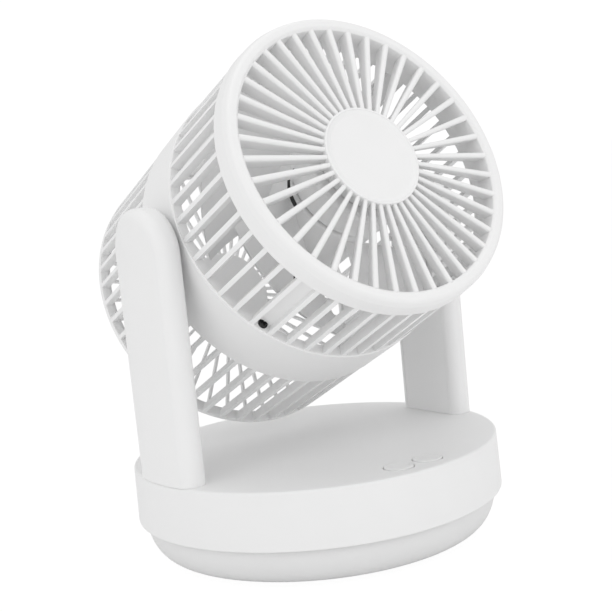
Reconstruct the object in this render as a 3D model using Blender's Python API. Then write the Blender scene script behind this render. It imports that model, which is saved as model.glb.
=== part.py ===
"""Desk fan.

A round fan head hangs between two arms and tilts on two hollow trunnions. The arms stand on a
drum that swivels on a bowl-shaped plinth. Lengths are in millimetres and become metres when a
mesh is made. The origin is the centre of the footprint on the table, +Z is up, and the fan
blows towards -Y. In the head's own frame the Z axis is the air axis, the origin is the point
where it meets the tilt axis, and X is the tilt axis.
"""
import math

import bmesh
import bpy
from mathutils import Matrix, Vector

MM = 0.001
WELD = 0.001
GAP = 0.3

# Driving dimensions of the whole object
BASE_RADIUS = 90.0
BASE_FLARE = 0.6
DECK_TOP = 47.2
DRUM_BOTTOM = 20.1
PIVOT_HEIGHT = 152.4
HEAD_TILT = 26.2
BAND_RADIUS = 74.9
BARREL_RADIUS = 72.5
ARM_INNER = 76.0
ARM_TOP_RADIUS = 22.0

# Plinth
FOOT_HEIGHT = 1.5
FOOT_RADIUS = 7.0
FOOT_CIRCLE = 62.0
BOWL_FLOOR = FOOT_HEIGHT + GAP
BOWL_TOP = 20.4
BOWL_RIM_RADIUS = 87.0
BOWL_FOOT_RADIUS = 74.4
BOWL_WALL = 2.2
COVER_RADIUS = 84.2
COVER_BOTTOM = 17.0
COVER_TOP = 19.4
POST_CIRCLE = 50.0
SPINDLE_RADIUS = 8.7
SPINDLE_TOP = 25.0

# Swivel drive
GEAR_TEETH = 24
PINION_TEETH = 12
GEAR_MODULE = 5.0 / 3.0
GEAR_BACKLASH = 0.3
GEAR_BOTTOM = 25.3
GEAR_TOP = 29.3
PINION_X = GEAR_MODULE * (GEAR_TEETH + PINION_TEETH) / 2
MOTOR_BOTTOM = 31.5
MOTOR_TOP = 43.5
MOTOR_EAR = 17.5

# Drum
DECK_THICKNESS = 2.4
DECK_UNDER = DECK_TOP - DECK_THICKNESS
DRUM_WALL = 2.3
FLOOR_BOTTOM = 22.4
FLOOR_TOP = 24.6
FLOOR_RADIUS = 86.8
DRUM_POST_CIRCLE = 78.0
DRUM_POST_ANGLES = (35, 145, 215, 325)
BOARD_CENTRE_Y = -68.0
BOARD_BOTTOM = 37.0
BOARD_TOP = 38.6
BUTTON_X = 8.5
BUTTON_Y = -75.5
BUTTON_RADIUS = 6.75
BUTTON_TRAVEL = 1.0
INLET_HEIGHT = 32.0

# Arms
ARM_BOTTOM = DECK_TOP + GAP
ARM_FOOT_HALF_WIDTH = 24.5
ARM_FILLET = 5.0
ARM_WALL = 2.2
ARM_CAVITY_FLOOR = ARM_BOTTOM + 2.7
ARM_ARC_STEPS = 12
ARM_SCREW_X = 82.0
ARM_SCREW_Y = 14.0
TRUNNION_RADIUS = 5.0
TRUNNION_BORE = 2.4
TRUNNION_END = 84.0
BUSH_RADIUS = 8.0

# Head, along the air axis from the tilt axis
BEZEL_FRONT = 76.2
BEZEL_REAR = 65.9
OPENING_RADIUS = 65.7
FIN_COUNT = 40
FIN_PHASE = 3.8
FIN_WIDTH = 1.9
FIN_FRONT = 75.4
FIN_REAR = 66.5
DISC_RADIUS = 24.3
SKIRT_RADIUS = 64.8
SKIRT_REAR = 54.0
RIB_COUNT = 48
RIB_PITCH = 360.0 / RIB_COUNT
RIB_WIDTH = 2.2
BARREL_INNER = 70.0
BAND_FRONT = 20.2
BAND_REAR = -11.6
HEAD_REAR = -71.6
SCREW_ANGLES = (45, 135, 225, 315)
BARREL_SCREW_CIRCLE = 70.0
GUTTER_INNER = 66.4
GUTTER_FLOOR = 1.2

# Fan motor and impeller
POD_RADIUS = 27.5
POD_REAR = 50.5
POD_FRONT = 66.2
CAN_RADIUS = 25.6
CAN_REAR = 49.3
HUB_RADIUS = 27.0
HUB_REAR = 14.0
HUB_FRONT = 48.5
SHAFT_RADIUS = 1.6
BLADE_COUNT = 5
BLADE_TIP = 62.8
BLADE_MIDDLE = 31.0
LEAD_RADIUS = 0.9
LEAD_CIRCLE = 65.2


def clear_scene():
    """Empties the file of objects."""
    for item in list(bpy.data.objects):
        bpy.data.objects.remove(item, do_unlink=True)


def make_material(name, colour, roughness, metallic=0.0):
    """A plain surface of one colour."""
    material = bpy.data.materials.new(name)
    material.use_nodes = True
    shader = material.node_tree.nodes["Principled BSDF"]
    shader.inputs["Base Color"].default_value = (*colour, 1.0)
    shader.inputs["Roughness"].default_value = roughness
    shader.inputs["Metallic"].default_value = metallic
    return material


def polar(radius, angle, height=0.0):
    """A point from its radius, its angle in degrees and its height."""
    turn = math.radians(angle)
    return Vector((radius * math.cos(turn), radius * math.sin(turn), height))


def radial_frame(angle):
    """Local X runs round the axis, local Y along it and local Z outwards."""
    turn = math.radians(angle)
    along = Vector((-math.sin(turn), math.cos(turn), 0.0))
    outward = Vector((math.cos(turn), math.sin(turn), 0.0))
    return Matrix((along, Vector((0.0, 0.0, 1.0)), outward)).transposed().to_4x4()


def add_shape(bm, shape, matrix):
    """Welds a finished shape, places it and adds it to a mesh."""
    bmesh.ops.remove_doubles(shape, verts=shape.verts, dist=WELD)
    if matrix is not None:
        bmesh.ops.transform(shape, matrix=matrix, verts=shape.verts)
    bmesh.ops.recalc_face_normals(shape, faces=shape.faces)
    scratch = bpy.data.meshes.new("scratch")
    shape.to_mesh(scratch)
    shape.free()
    bm.from_mesh(scratch)
    bpy.data.meshes.remove(scratch)


def add_turned(bm, outline, segments, matrix=None):
    """Turns an outline of (radius, height) points about the Z axis."""
    shape = bmesh.new()
    profile = [shape.verts.new((radius, 0.0, height)) for radius, height in outline]
    pairs = list(zip(profile, profile[1:]))
    if min(radius for radius, height in outline) > 0:
        pairs.append((profile[-1], profile[0]))
    edges = [shape.edges.new(pair) for pair in pairs]
    bmesh.ops.spin(shape, geom=profile + edges, cent=(0, 0, 0), axis=(0, 0, 1),
                   angle=math.tau, steps=segments, use_merge=True)
    add_shape(bm, shape, matrix)


def add_prism(bm, outline, bottom, top, matrix=None):
    """Extrudes a flat outline of (x, y) points from one height to another."""
    shape = bmesh.new()
    lower = [shape.verts.new((x, y, bottom)) for x, y in outline]
    upper = [shape.verts.new((x, y, top)) for x, y in outline]
    shape.faces.new(lower)
    shape.faces.new(upper)
    for index in range(len(outline)):
        after = (index + 1) % len(outline)
        shape.faces.new((lower[index], lower[after], upper[after], upper[index]))
    add_shape(bm, shape, matrix)


def add_box(bm, low, high, matrix=None):
    """A box between two corners."""
    outline = [(low[0], low[1]), (high[0], low[1]), (high[0], high[1]), (low[0], high[1])]
    add_prism(bm, outline, low[2], high[2], matrix)


def add_rod(bm, radius, start, end, segments=16):
    """A round rod from one point to another."""
    start = Vector(start)
    run = Vector(end) - start
    turn = run.to_track_quat("Z", "Y").to_matrix().to_4x4()
    outline = [(0, 0), (radius, 0), (radius, run.length), (0, run.length)]
    add_turned(bm, outline, segments, Matrix.Translation(start) @ turn)


def add_screw(bm, base, direction, head_radius, head_height, shank_radius, length, segments=8):
    """A pan-head screw whose head sits on the point base and points along direction."""
    outline = [(0, head_height), (head_radius * 0.7, head_height), (head_radius, 0),
               (shank_radius, 0), (shank_radius, -length), (0, -length)]
    turn = Vector(direction).to_track_quat("Z", "Y").to_matrix().to_4x4()
    add_turned(bm, outline, segments, Matrix.Translation(Vector(base)) @ turn)


def make_piece(name, bm, material=None, parent=None, origin=(0, 0, 0), smooth=30):
    """Turns a finished bmesh into an object whose origin is at the given point."""
    bmesh.ops.recalc_face_normals(bm, faces=bm.faces)
    bmesh.ops.translate(bm, vec=-Vector(origin), verts=bm.verts)
    bmesh.ops.scale(bm, vec=(MM, MM, MM), verts=bm.verts)
    mesh = bpy.data.meshes.new(name)
    bm.to_mesh(mesh)
    bm.free()
    mesh.shade_smooth()
    mesh.set_sharp_from_angle(angle=math.radians(smooth))
    piece = bpy.data.objects.new(name, mesh)
    bpy.context.scene.collection.objects.link(piece)
    piece.parent = parent
    piece.location = Vector(origin) * MM
    if material is not None:
        mesh.materials.append(material)
    return piece


def combine(piece, name, bm, operation):
    """Cuts a piece with a guide shape, or joins the shape to it."""
    guide = make_piece(piece.name + "_" + name, bm, parent=piece.parent)
    guide.hide_render = True
    guide.display_type = "WIRE"
    modifier = piece.modifiers.new(name, "BOOLEAN")
    modifier.operation = operation
    modifier.solver = "EXACT"
    modifier.object = guide


def make_axis(name, location, rotation, parent=None):
    """An empty that carries the pieces of one moving body."""
    axis = bpy.data.objects.new(name, None)
    bpy.context.scene.collection.objects.link(axis)
    axis.parent = parent
    axis.location = Vector(location) * MM
    axis.rotation_euler = rotation
    return axis


def gear_outline(teeth, phase):
    """An involute spur gear with a tooth centred at the phase angle."""
    pitch = GEAR_MODULE * teeth / 2
    base = pitch * math.cos(math.radians(20))
    tip = pitch + GEAR_MODULE * 0.95
    root = pitch - GEAR_MODULE * 1.25
    half_tooth = math.pi / (2 * teeth) - GEAR_BACKLASH / (2 * pitch)

    def involute(radius):
        slope = math.acos(base / radius)
        return math.tan(slope) - slope

    outline = []
    for tooth in range(teeth):
        centre = math.radians(phase) + tooth * math.tau / teeth
        flank = []
        for radius in (max(base, root), tip):
            flank.append((radius, half_tooth + involute(pitch) - involute(radius)))
        flank[0] = (root, flank[0][1])
        for radius, half in flank:
            outline.append((radius * math.cos(centre - half), radius * math.sin(centre - half)))
        for radius, half in reversed(flank):
            outline.append((radius * math.cos(centre + half), radius * math.sin(centre + half)))
    return outline


def add_slotted_tube(bm, levels, slot_level):
    """A tube of (height, inner radius, outer radius) levels, open between its ribs at one of them."""
    half = math.degrees(RIB_WIDTH / 2 / BARREL_RADIUS)
    inner = []
    outer = []
    for rib in range(RIB_COUNT):
        centre = (rib + 0.5) * RIB_PITCH
        for angle in (centre - half, centre + half):
            inner.append([bm.verts.new(polar(low, angle, height)) for height, low, high in levels])
            outer.append([bm.verts.new(polar(high, angle, height)) for height, low, high in levels])
    last = len(levels) - 1
    for column in range(len(outer)):
        after = (column + 1) % len(outer)
        open_strip = column % 2 == 1
        for level in range(last):
            if open_strip and level == slot_level:
                continue
            for wall in (inner, outer):
                bm.faces.new((wall[column][level], wall[after][level],
                              wall[after][level + 1], wall[column][level + 1]))
        ends = [0, last]
        if open_strip:
            ends += [slot_level, slot_level + 1]
        for level in ends:
            bm.faces.new((inner[column][level], inner[after][level],
                          outer[after][level], outer[column][level]))
        bm.faces.new((inner[column][slot_level], inner[column][slot_level + 1],
                      outer[column][slot_level + 1], outer[column][slot_level]))


def add_arm_solid(bm, side, wall, inner_plane, floor):
    """An upright arm with a round top, its outer face in line with the drum's wall.

    The outer surface is a grid: each column runs inwards from the outline to the middle line.
    """
    fillet = ARM_FILLET - wall
    top_radius = ARM_TOP_RADIUS - wall
    foot_width = ARM_FOOT_HALF_WIDTH - wall
    face_radius = BASE_RADIUS - wall
    stations = []
    for share in (0.0, 0.35, 0.7, 1.0):
        height = floor + share * (PIVOT_HEIGHT - floor)
        stations.append((height, foot_width + share * (top_radius - foot_width), 0.0))
    for step in range(1, ARM_ARC_STEPS):
        stations.append((PIVOT_HEIGHT, top_radius, step * 180.0 / ARM_ARC_STEPS))
    for height, width, angle in reversed(stations[:4]):
        stations.append((height, width, 180.0))
    columns = []
    for height, width, angle in stations:
        turn = math.radians(angle)
        column = [(inner_plane, -width * math.cos(turn), height + width * math.sin(turn))]
        for depth in (0.0, fillet * 0.13, fillet * 0.5, fillet, width / 2, width):
            reach = width - depth
            y = -reach * math.cos(turn)
            z = height + reach * math.sin(turn)
            drop = fillet - depth
            round_off = fillet - math.sqrt(fillet ** 2 - max(drop, 0.0) ** 2)
            column.append((math.sqrt(face_radius ** 2 - y ** 2) - round_off, y, z))
        columns.append([bm.verts.new((side * x, y, z)) for x, y, z in column])
    for column, after in zip(columns, columns[1:]):
        for row in range(len(column) - 1):
            bm.faces.new((column[row], column[row + 1], after[row + 1], after[row]))
    bm.faces.new([column[0] for column in columns])
    bm.faces.new(columns[0] + columns[-1][-2::-1])
    bmesh.ops.remove_doubles(bm, verts=bm.verts, dist=WELD)


def lead_curve(name, waypoints, radius, material, parent):
    """A round lead along a smooth curve through the waypoints."""
    points = [Vector(point) for point in waypoints]
    ends = [2 * points[0] - points[1]] + points + [2 * points[-1] - points[-2]]
    route = []
    for index in range(1, len(ends) - 2):
        before, here, there, beyond = ends[index - 1:index + 3]
        steps = max(2, round((there - here).length / (radius * 6)))
        for step in range(steps):
            t = step / steps
            route.append(0.5 * (2 * here + (there - before) * t
                                + (2 * before - 5 * here + 4 * there - beyond) * t ** 2
                                + (3 * here - before - 3 * there + beyond) * t ** 3))
    route.append(points[-1])
    curve = bpy.data.curves.new(name, "CURVE")
    curve.dimensions = "3D"
    curve.bevel_depth = radius * MM
    curve.bevel_resolution = 1
    curve.use_fill_caps = True
    spline = curve.splines.new("POLY")
    spline.points.add(len(route) - 1)
    for point, place in zip(spline.points, route):
        point.co = (*(place * MM), 1.0)
    curve.materials.append(material)
    lead = bpy.data.objects.new(name, curve)
    bpy.context.scene.collection.objects.link(lead)
    lead.parent = parent
    return lead


def bowl_curve(inset, bottom):
    """The rounded side of the plinth, from its rim down to its floor."""
    points = []
    for step in range(5):
        turn = math.radians(step * 22.5)
        reach = BOWL_RIM_RADIUS - BOWL_FOOT_RADIUS
        radius = BOWL_FOOT_RADIUS + reach * math.cos(turn) - inset
        points.append((radius, BOWL_TOP - (BOWL_TOP - bottom) * math.sin(turn)))
    return points


def make_plinth(look):
    """The still part of the base: bowl, cover, feet, spindle and fixed gear."""
    bm = bmesh.new()
    inner_floor = BOWL_FLOOR + 2.4
    outline = [(0, BOWL_FLOOR)] + list(reversed(bowl_curve(0, BOWL_FLOOR)))
    outline += bowl_curve(BOWL_WALL, inner_floor) + [(0, inner_floor)]
    add_turned(bm, outline, 40)
    bowl = make_piece("plinth_bowl", bm, look["plinth_white"])
    posts = bmesh.new()
    bores = bmesh.new()
    holes = bmesh.new()
    for index in range(3):
        x, y, height = polar(POST_CIRCLE, 90 + index * 120)
        add_rod(posts, 4.0, (x, y, inner_floor - 1), (x, y, COVER_BOTTOM - GAP), 12)
        add_rod(bores, 1.6, (x, y, 9), (x, y, COVER_BOTTOM + 5), 8)
        add_rod(holes, 1.6, (x, y, COVER_BOTTOM - 5), (x, y, COVER_TOP + 5), 8)
        screw = bmesh.new()
        add_screw(screw, (x, y, COVER_TOP + GAP), (0, 0, 1), 2.7, 1.6, 1.3, 9)
        make_piece(f"plinth_screw_{index + 1}", screw, look["screw_steel"])
    combine(bowl, "posts", posts, "UNION")
    combine(bowl, "bores", bores, "DIFFERENCE")
    add_rod(holes, 1.6, (0, 0, COVER_BOTTOM - 5), (0, 0, COVER_TOP + 5), 8)

    bm = bmesh.new()
    outline = [(0, COVER_BOTTOM), (COVER_RADIUS - 2.0, COVER_BOTTOM), (COVER_RADIUS, COVER_TOP - 0.8),
               (COVER_RADIUS, COVER_TOP), (0, COVER_TOP)]
    add_turned(bm, outline, 40)
    cover = make_piece("plinth_cover", bm, look["plinth_white"])
    combine(cover, "holes", holes, "DIFFERENCE")

    for index in range(4):
        x, y, height = polar(FOOT_CIRCLE, 45 + index * 90)
        bm = bmesh.new()
        add_turned(bm, [(0, 0), (FOOT_RADIUS - 0.4, 0), (FOOT_RADIUS, 0.4),
                        (FOOT_RADIUS, FOOT_HEIGHT), (0, FOOT_HEIGHT)], 12, Matrix.Translation((x, y, 0)))
        make_piece(f"rubber_foot_{index + 1}", bm, look["rubber_grey"])

    bm = bmesh.new()
    spindle_bottom = COVER_TOP + GAP
    outline = [(1.6, spindle_bottom), (16, spindle_bottom), (16, spindle_bottom + 2),
               (SPINDLE_RADIUS, spindle_bottom + 2), (SPINDLE_RADIUS, SPINDLE_TOP), (1.6, SPINDLE_TOP)]
    add_turned(bm, outline, 20)
    make_piece("swivel_spindle", bm, look["gear_nylon"])

    bm = bmesh.new()
    ring_low = COVER_TOP + GAP
    ring_high = FLOOR_BOTTOM - GAP
    add_turned(bm, [(60, ring_low), (66, ring_low), (66, ring_high), (60, ring_high)], 24)
    make_piece("thrust_ring", bm, look["gear_nylon"])

    bm = bmesh.new()
    add_prism(bm, gear_outline(GEAR_TEETH, 0), GEAR_BOTTOM, GEAR_TOP)
    gear = make_piece("swivel_gear", bm, look["gear_nylon"])
    bm = bmesh.new()
    add_rod(bm, 1.6, (0, 0, GEAR_BOTTOM - 1), (0, 0, GEAR_TOP + 1), 12)
    combine(gear, "bore", bm, "DIFFERENCE")

    bm = bmesh.new()
    add_screw(bm, (0, 0, GEAR_TOP + GAP), (0, 0, 1), 4.0, 1.8, 1.3, 14, 12)
    make_piece("spindle_screw", bm, look["screw_steel"])


def make_drum(look, turntable):
    """The turning part of the base: drum, floor, electronics and swivel motor."""
    bm = bmesh.new()
    inner = BASE_RADIUS - DRUM_WALL
    outline = [(0, DECK_TOP), (BASE_RADIUS - 1.2, DECK_TOP), (BASE_RADIUS - 0.35, DECK_TOP - 0.35),
               (BASE_RADIUS, DECK_TOP - 1.2), (BASE_RADIUS + BASE_FLARE, DRUM_BOTTOM + 1.0),
               (BASE_RADIUS + BASE_FLARE - 0.3, DRUM_BOTTOM + 0.3),
               (BASE_RADIUS + BASE_FLARE - 1.0, DRUM_BOTTOM), (inner + BASE_FLARE, DRUM_BOTTOM),
               (inner, DECK_UNDER), (0, DECK_UNDER)]
    add_turned(bm, outline, 48)
    drum = make_piece("base_drum", bm, look["shell_white"], turntable)
    posts = bmesh.new()
    bores = bmesh.new()
    holes = bmesh.new()
    for index, angle in enumerate(DRUM_POST_ANGLES):
        x, y, height = polar(DRUM_POST_CIRCLE, angle)
        add_rod(posts, 3.6, (x, y, FLOOR_TOP + GAP), (x, y, DECK_UNDER + 1), 8)
        add_rod(bores, 1.6, (x, y, FLOOR_TOP - 2), (x, y, DECK_UNDER - 6), 6)
        add_rod(holes, 1.6, (x, y, FLOOR_BOTTOM - 4), (x, y, FLOOR_TOP + 4), 6)
        screw = bmesh.new()
        add_screw(screw, (x, y, FLOOR_BOTTOM - GAP), (0, 0, -1), 2.7, 1.5, 1.3, 9)
        make_piece(f"floor_screw_{index + 1}", screw, look["screw_steel"], turntable)
    combine(drum, "posts", posts, "UNION")
    for side in (-1, 1):
        x = side * ARM_SCREW_X
        for y in (-ARM_SCREW_Y, ARM_SCREW_Y):
            add_rod(bores, 1.6, (x, y, DECK_UNDER - 5), (x, y, DECK_TOP + 5), 6)
        add_rod(bores, 2.6, (x, 0, DECK_UNDER - 5), (x, 0, DECK_TOP + 5), 8)
        x = side * BUTTON_X
        add_rod(bores, BUTTON_RADIUS + GAP, (x, BUTTON_Y, DECK_UNDER - 1), (x, BUTTON_Y, DECK_TOP + 1), 20)
    add_box(bores, (-4.8, 84, INLET_HEIGHT - 1.9), (4.8, 95, INLET_HEIGHT + 1.9))
    combine(drum, "bores", bores, "DIFFERENCE")

    bm = bmesh.new()
    add_turned(bm, [(SPINDLE_RADIUS + GAP, FLOOR_BOTTOM), (FLOOR_RADIUS, FLOOR_BOTTOM),
                    (FLOOR_RADIUS, FLOOR_TOP), (SPINDLE_RADIUS + GAP, FLOOR_TOP)], 40)
    floor = make_piece("drum_floor", bm, look["plinth_white"], turntable)
    combine(floor, "holes", holes, "DIFFERENCE")
    posts = bmesh.new()
    for y in (-MOTOR_EAR, MOTOR_EAR):
        add_rod(posts, 2.8, (PINION_X, y, FLOOR_TOP - 1), (PINION_X, y, MOTOR_BOTTOM - GAP), 8)
    for x in (-20, 20):
        add_rod(posts, 2.8, (x, BOARD_CENTRE_Y, FLOOR_TOP - 1), (x, BOARD_CENTRE_Y, BOARD_BOTTOM - GAP), 8)
    combine(floor, "posts", posts, "UNION")

    bm = bmesh.new()
    add_box(bm, (-25, BOARD_CENTRE_Y - 13, BOARD_BOTTOM), (25, BOARD_CENTRE_Y + 13, BOARD_TOP))
    make_piece("control_board", bm, look["board_green"], turntable)

    for name, side in (("power_switch", -1), ("mode_switch", 1)):
        bm = bmesh.new()
        x = side * BUTTON_X
        add_box(bm, (x - 3, BUTTON_Y - 3, BOARD_TOP + GAP), (x + 3, BUTTON_Y + 3, BOARD_TOP + 2.6))
        switch = make_piece(name, bm, look["part_black"], turntable)
        bm = bmesh.new()
        add_rod(bm, 1.7, (x, BUTTON_Y, BOARD_TOP + 2.0), (x, BUTTON_Y, BOARD_TOP + 3.2), 10)
        combine(switch, "plunger", bm, "UNION")

    bm = bmesh.new()
    add_box(bm, (-34, 38, FLOOR_TOP + GAP), (34, 75, FLOOR_TOP + 17.3))
    battery = make_piece("battery_pack", bm, look["battery_blue"], turntable)
    rounding = battery.modifiers.new("cell_rounding", "BEVEL")
    rounding.width = 5.0 * MM
    rounding.segments = 2

    bm = bmesh.new()
    add_box(bm, (-4.5, 80.5, INLET_HEIGHT - 1.6), (4.5, 89.2, INLET_HEIGHT + 1.6))
    inlet = make_piece("usb_inlet", bm, look["screw_steel"], turntable)
    bm = bmesh.new()
    add_box(bm, (-4.0, 82.0, INLET_HEIGHT - 1.15), (4.0, 91, INLET_HEIGHT + 1.15))
    combine(inlet, "pocket", bm, "DIFFERENCE")

    bm = bmesh.new()
    add_turned(bm, [(0, MOTOR_BOTTOM), (14, MOTOR_BOTTOM), (14, MOTOR_TOP), (0, MOTOR_TOP)], 24,
               Matrix.Translation((PINION_X, 0, 0)))
    motor = make_piece("swivel_motor", bm, look["motor_grey"], turntable)
    bm = bmesh.new()
    add_box(bm, (PINION_X - 3.5, -MOTOR_EAR - 3.5, MOTOR_BOTTOM + 0.2),
            (PINION_X + 3.5, MOTOR_EAR + 3.5, MOTOR_BOTTOM + 1.4))
    combine(motor, "ears", bm, "UNION")
    bm = bmesh.new()
    add_rod(bm, 1.5, (PINION_X, 0, GEAR_BOTTOM + 0.5), (PINION_X, 0, MOTOR_BOTTOM + 1), 10)
    combine(motor, "output_shaft", bm, "UNION")


def make_pinion(look, turntable):
    """The small gear on the swivel motor's shaft."""
    bm = bmesh.new()
    place = Matrix.Translation((PINION_X, 0, 0))
    add_prism(bm, gear_outline(PINION_TEETH, 180.0 / PINION_TEETH), GEAR_BOTTOM, GEAR_TOP, place)
    pinion = make_piece("drive_pinion", bm, look["gear_nylon"], turntable, (PINION_X, 0, GEAR_BOTTOM))
    bm = bmesh.new()
    add_rod(bm, 1.6, (PINION_X, 0, GEAR_BOTTOM - 1), (PINION_X, 0, GEAR_TOP + 1), 10)
    combine(pinion, "bore", bm, "DIFFERENCE")


def make_buttons(look, turntable):
    """Two round push buttons, held up under the deck by their flanges."""
    for name, side in (("power_button", -1), ("mode_button", 1)):
        bm = bmesh.new()
        flange_top = DECK_UNDER - GAP
        outline = [(0, flange_top - 1.3), (BUTTON_RADIUS + 1.4, flange_top - 1.3),
                   (BUTTON_RADIUS + 1.4, flange_top), (BUTTON_RADIUS, flange_top),
                   (BUTTON_RADIUS, DECK_TOP + 0.1), (BUTTON_RADIUS - 0.5, DECK_TOP + 0.5), (0, DECK_TOP + 0.5)]
        x = side * BUTTON_X
        add_turned(bm, outline, 20, Matrix.Translation((x, BUTTON_Y, 0)))
        make_piece(name, bm, look["button_white"], turntable, (x, BUTTON_Y, DECK_TOP))


def make_arms(look, turntable):
    """Two hollow arms, each closed on the head's side by a cover with a pivot bush."""
    for word, side in (("left", -1), ("right", 1)):
        bm = bmesh.new()
        add_arm_solid(bm, side, 0.0, ARM_INNER, ARM_BOTTOM)
        shell = make_piece(f"{word}_arm_shell", bm, look["shell_white"], turntable)
        bm = bmesh.new()
        add_arm_solid(bm, side, ARM_WALL, ARM_INNER - 3, ARM_CAVITY_FLOOR)
        combine(shell, "cavity", bm, "DIFFERENCE")
        bm = bmesh.new()
        x = side * ARM_SCREW_X
        for y in (-ARM_SCREW_Y, ARM_SCREW_Y):
            add_rod(bm, 1.6, (x, y, ARM_BOTTOM - 3), (x, y, ARM_CAVITY_FLOOR + 3), 6)
        add_rod(bm, 2.6, (x, 0, ARM_BOTTOM - 3), (x, 0, ARM_CAVITY_FLOOR + 3), 8)
        combine(shell, "floor_holes", bm, "DIFFERENCE")

        bm = bmesh.new()
        margin = ARM_WALL + GAP
        foot = ARM_FOOT_HALF_WIDTH - margin
        top = ARM_TOP_RADIUS - margin
        outline = [(-foot, ARM_CAVITY_FLOOR + GAP), (foot, ARM_CAVITY_FLOOR + GAP)]
        for step in range(ARM_ARC_STEPS + 1):
            point = polar(top, step * 180.0 / ARM_ARC_STEPS)
            outline.append((point.x, PIVOT_HEIGHT + point.y))
        upright = Matrix(((0, 0, side, 0), (1, 0, 0, 0), (0, 1, 0, 0), (0, 0, 0, 1)))
        add_prism(bm, outline, ARM_INNER, ARM_INNER + 2, upright)
        cover = make_piece(f"{word}_arm_cover", bm, look["shell_white"], turntable)
        bm = bmesh.new()
        add_rod(bm, BUSH_RADIUS + GAP, (side * (ARM_INNER - 1), 0, PIVOT_HEIGHT),
                (side * (ARM_INNER + 3), 0, PIVOT_HEIGHT), 24)
        combine(cover, "bush_hole", bm, "DIFFERENCE")

        across = Vector((side, 0, 0)).to_track_quat("Z", "Y").to_matrix().to_4x4()
        across = Matrix.Translation((0, 0, PIVOT_HEIGHT)) @ across
        bm = bmesh.new()
        running = TRUNNION_RADIUS + 0.1
        outline = [(running, ARM_INNER + 0.1), (BUSH_RADIUS, ARM_INNER + 0.1), (BUSH_RADIUS, ARM_INNER + 2.3),
                   (BUSH_RADIUS + 2.2, ARM_INNER + 2.3), (BUSH_RADIUS + 2.2, ARM_INNER + 3.6),
                   (running, ARM_INNER + 3.6)]
        add_turned(bm, outline, 16, across)
        make_piece(f"{word}_pivot_bush", bm, look["gear_nylon"], turntable)

        for index, y in enumerate((-ARM_SCREW_Y, ARM_SCREW_Y)):
            bm = bmesh.new()
            add_screw(bm, (x, y, DECK_UNDER - GAP), (0, 0, -1), 2.7, 1.5, 1.3, 4.8)
            make_piece(f"{word}_arm_screw_{index + 1}", bm, look["screw_steel"], turntable)

    x = -ARM_SCREW_X
    route = [(-TRUNNION_END - 1.2, 0, PIVOT_HEIGHT), (-TRUNNION_END - 2.0, 0, PIVOT_HEIGHT - 2.4),
             (x - 2.0, 0, PIVOT_HEIGHT - 12), (x, 0, 120), (x, 0, 85), (x, 0, 60), (x, 0, DECK_UNDER - 3)]
    lead_curve("arm_lead", route, LEAD_RADIUS, look["lead_black"], turntable)


def make_trunnions(look, head):
    """Hollow pins on the head that turn in the arms' bushes, each with its friction nut."""
    for word, side in (("left", -1), ("right", 1)):
        across = Vector((side, 0, 0)).to_track_quat("Z", "Y").to_matrix().to_4x4()
        bm = bmesh.new()
        outline = [(TRUNNION_BORE, 68.5), (TRUNNION_RADIUS + 2.2, 68.5), (TRUNNION_RADIUS + 2.2, 69.9),
                   (TRUNNION_RADIUS, 69.9), (TRUNNION_RADIUS, TRUNNION_END), (TRUNNION_BORE, TRUNNION_END)]
        add_turned(bm, outline, 16, across)
        make_piece(f"{word}_trunnion", bm, look["gear_nylon"], head)
        bm = bmesh.new()
        outline = [(TRUNNION_RADIUS + GAP, ARM_INNER + 4.0), (BUSH_RADIUS + 0.5, ARM_INNER + 4.0),
                   (BUSH_RADIUS + 0.5, ARM_INNER + 7.0), (TRUNNION_RADIUS + GAP, ARM_INNER + 7.0)]
        add_turned(bm, outline, 16, across)
        make_piece(f"{word}_friction_nut", bm, look["screw_steel"], head)


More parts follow.
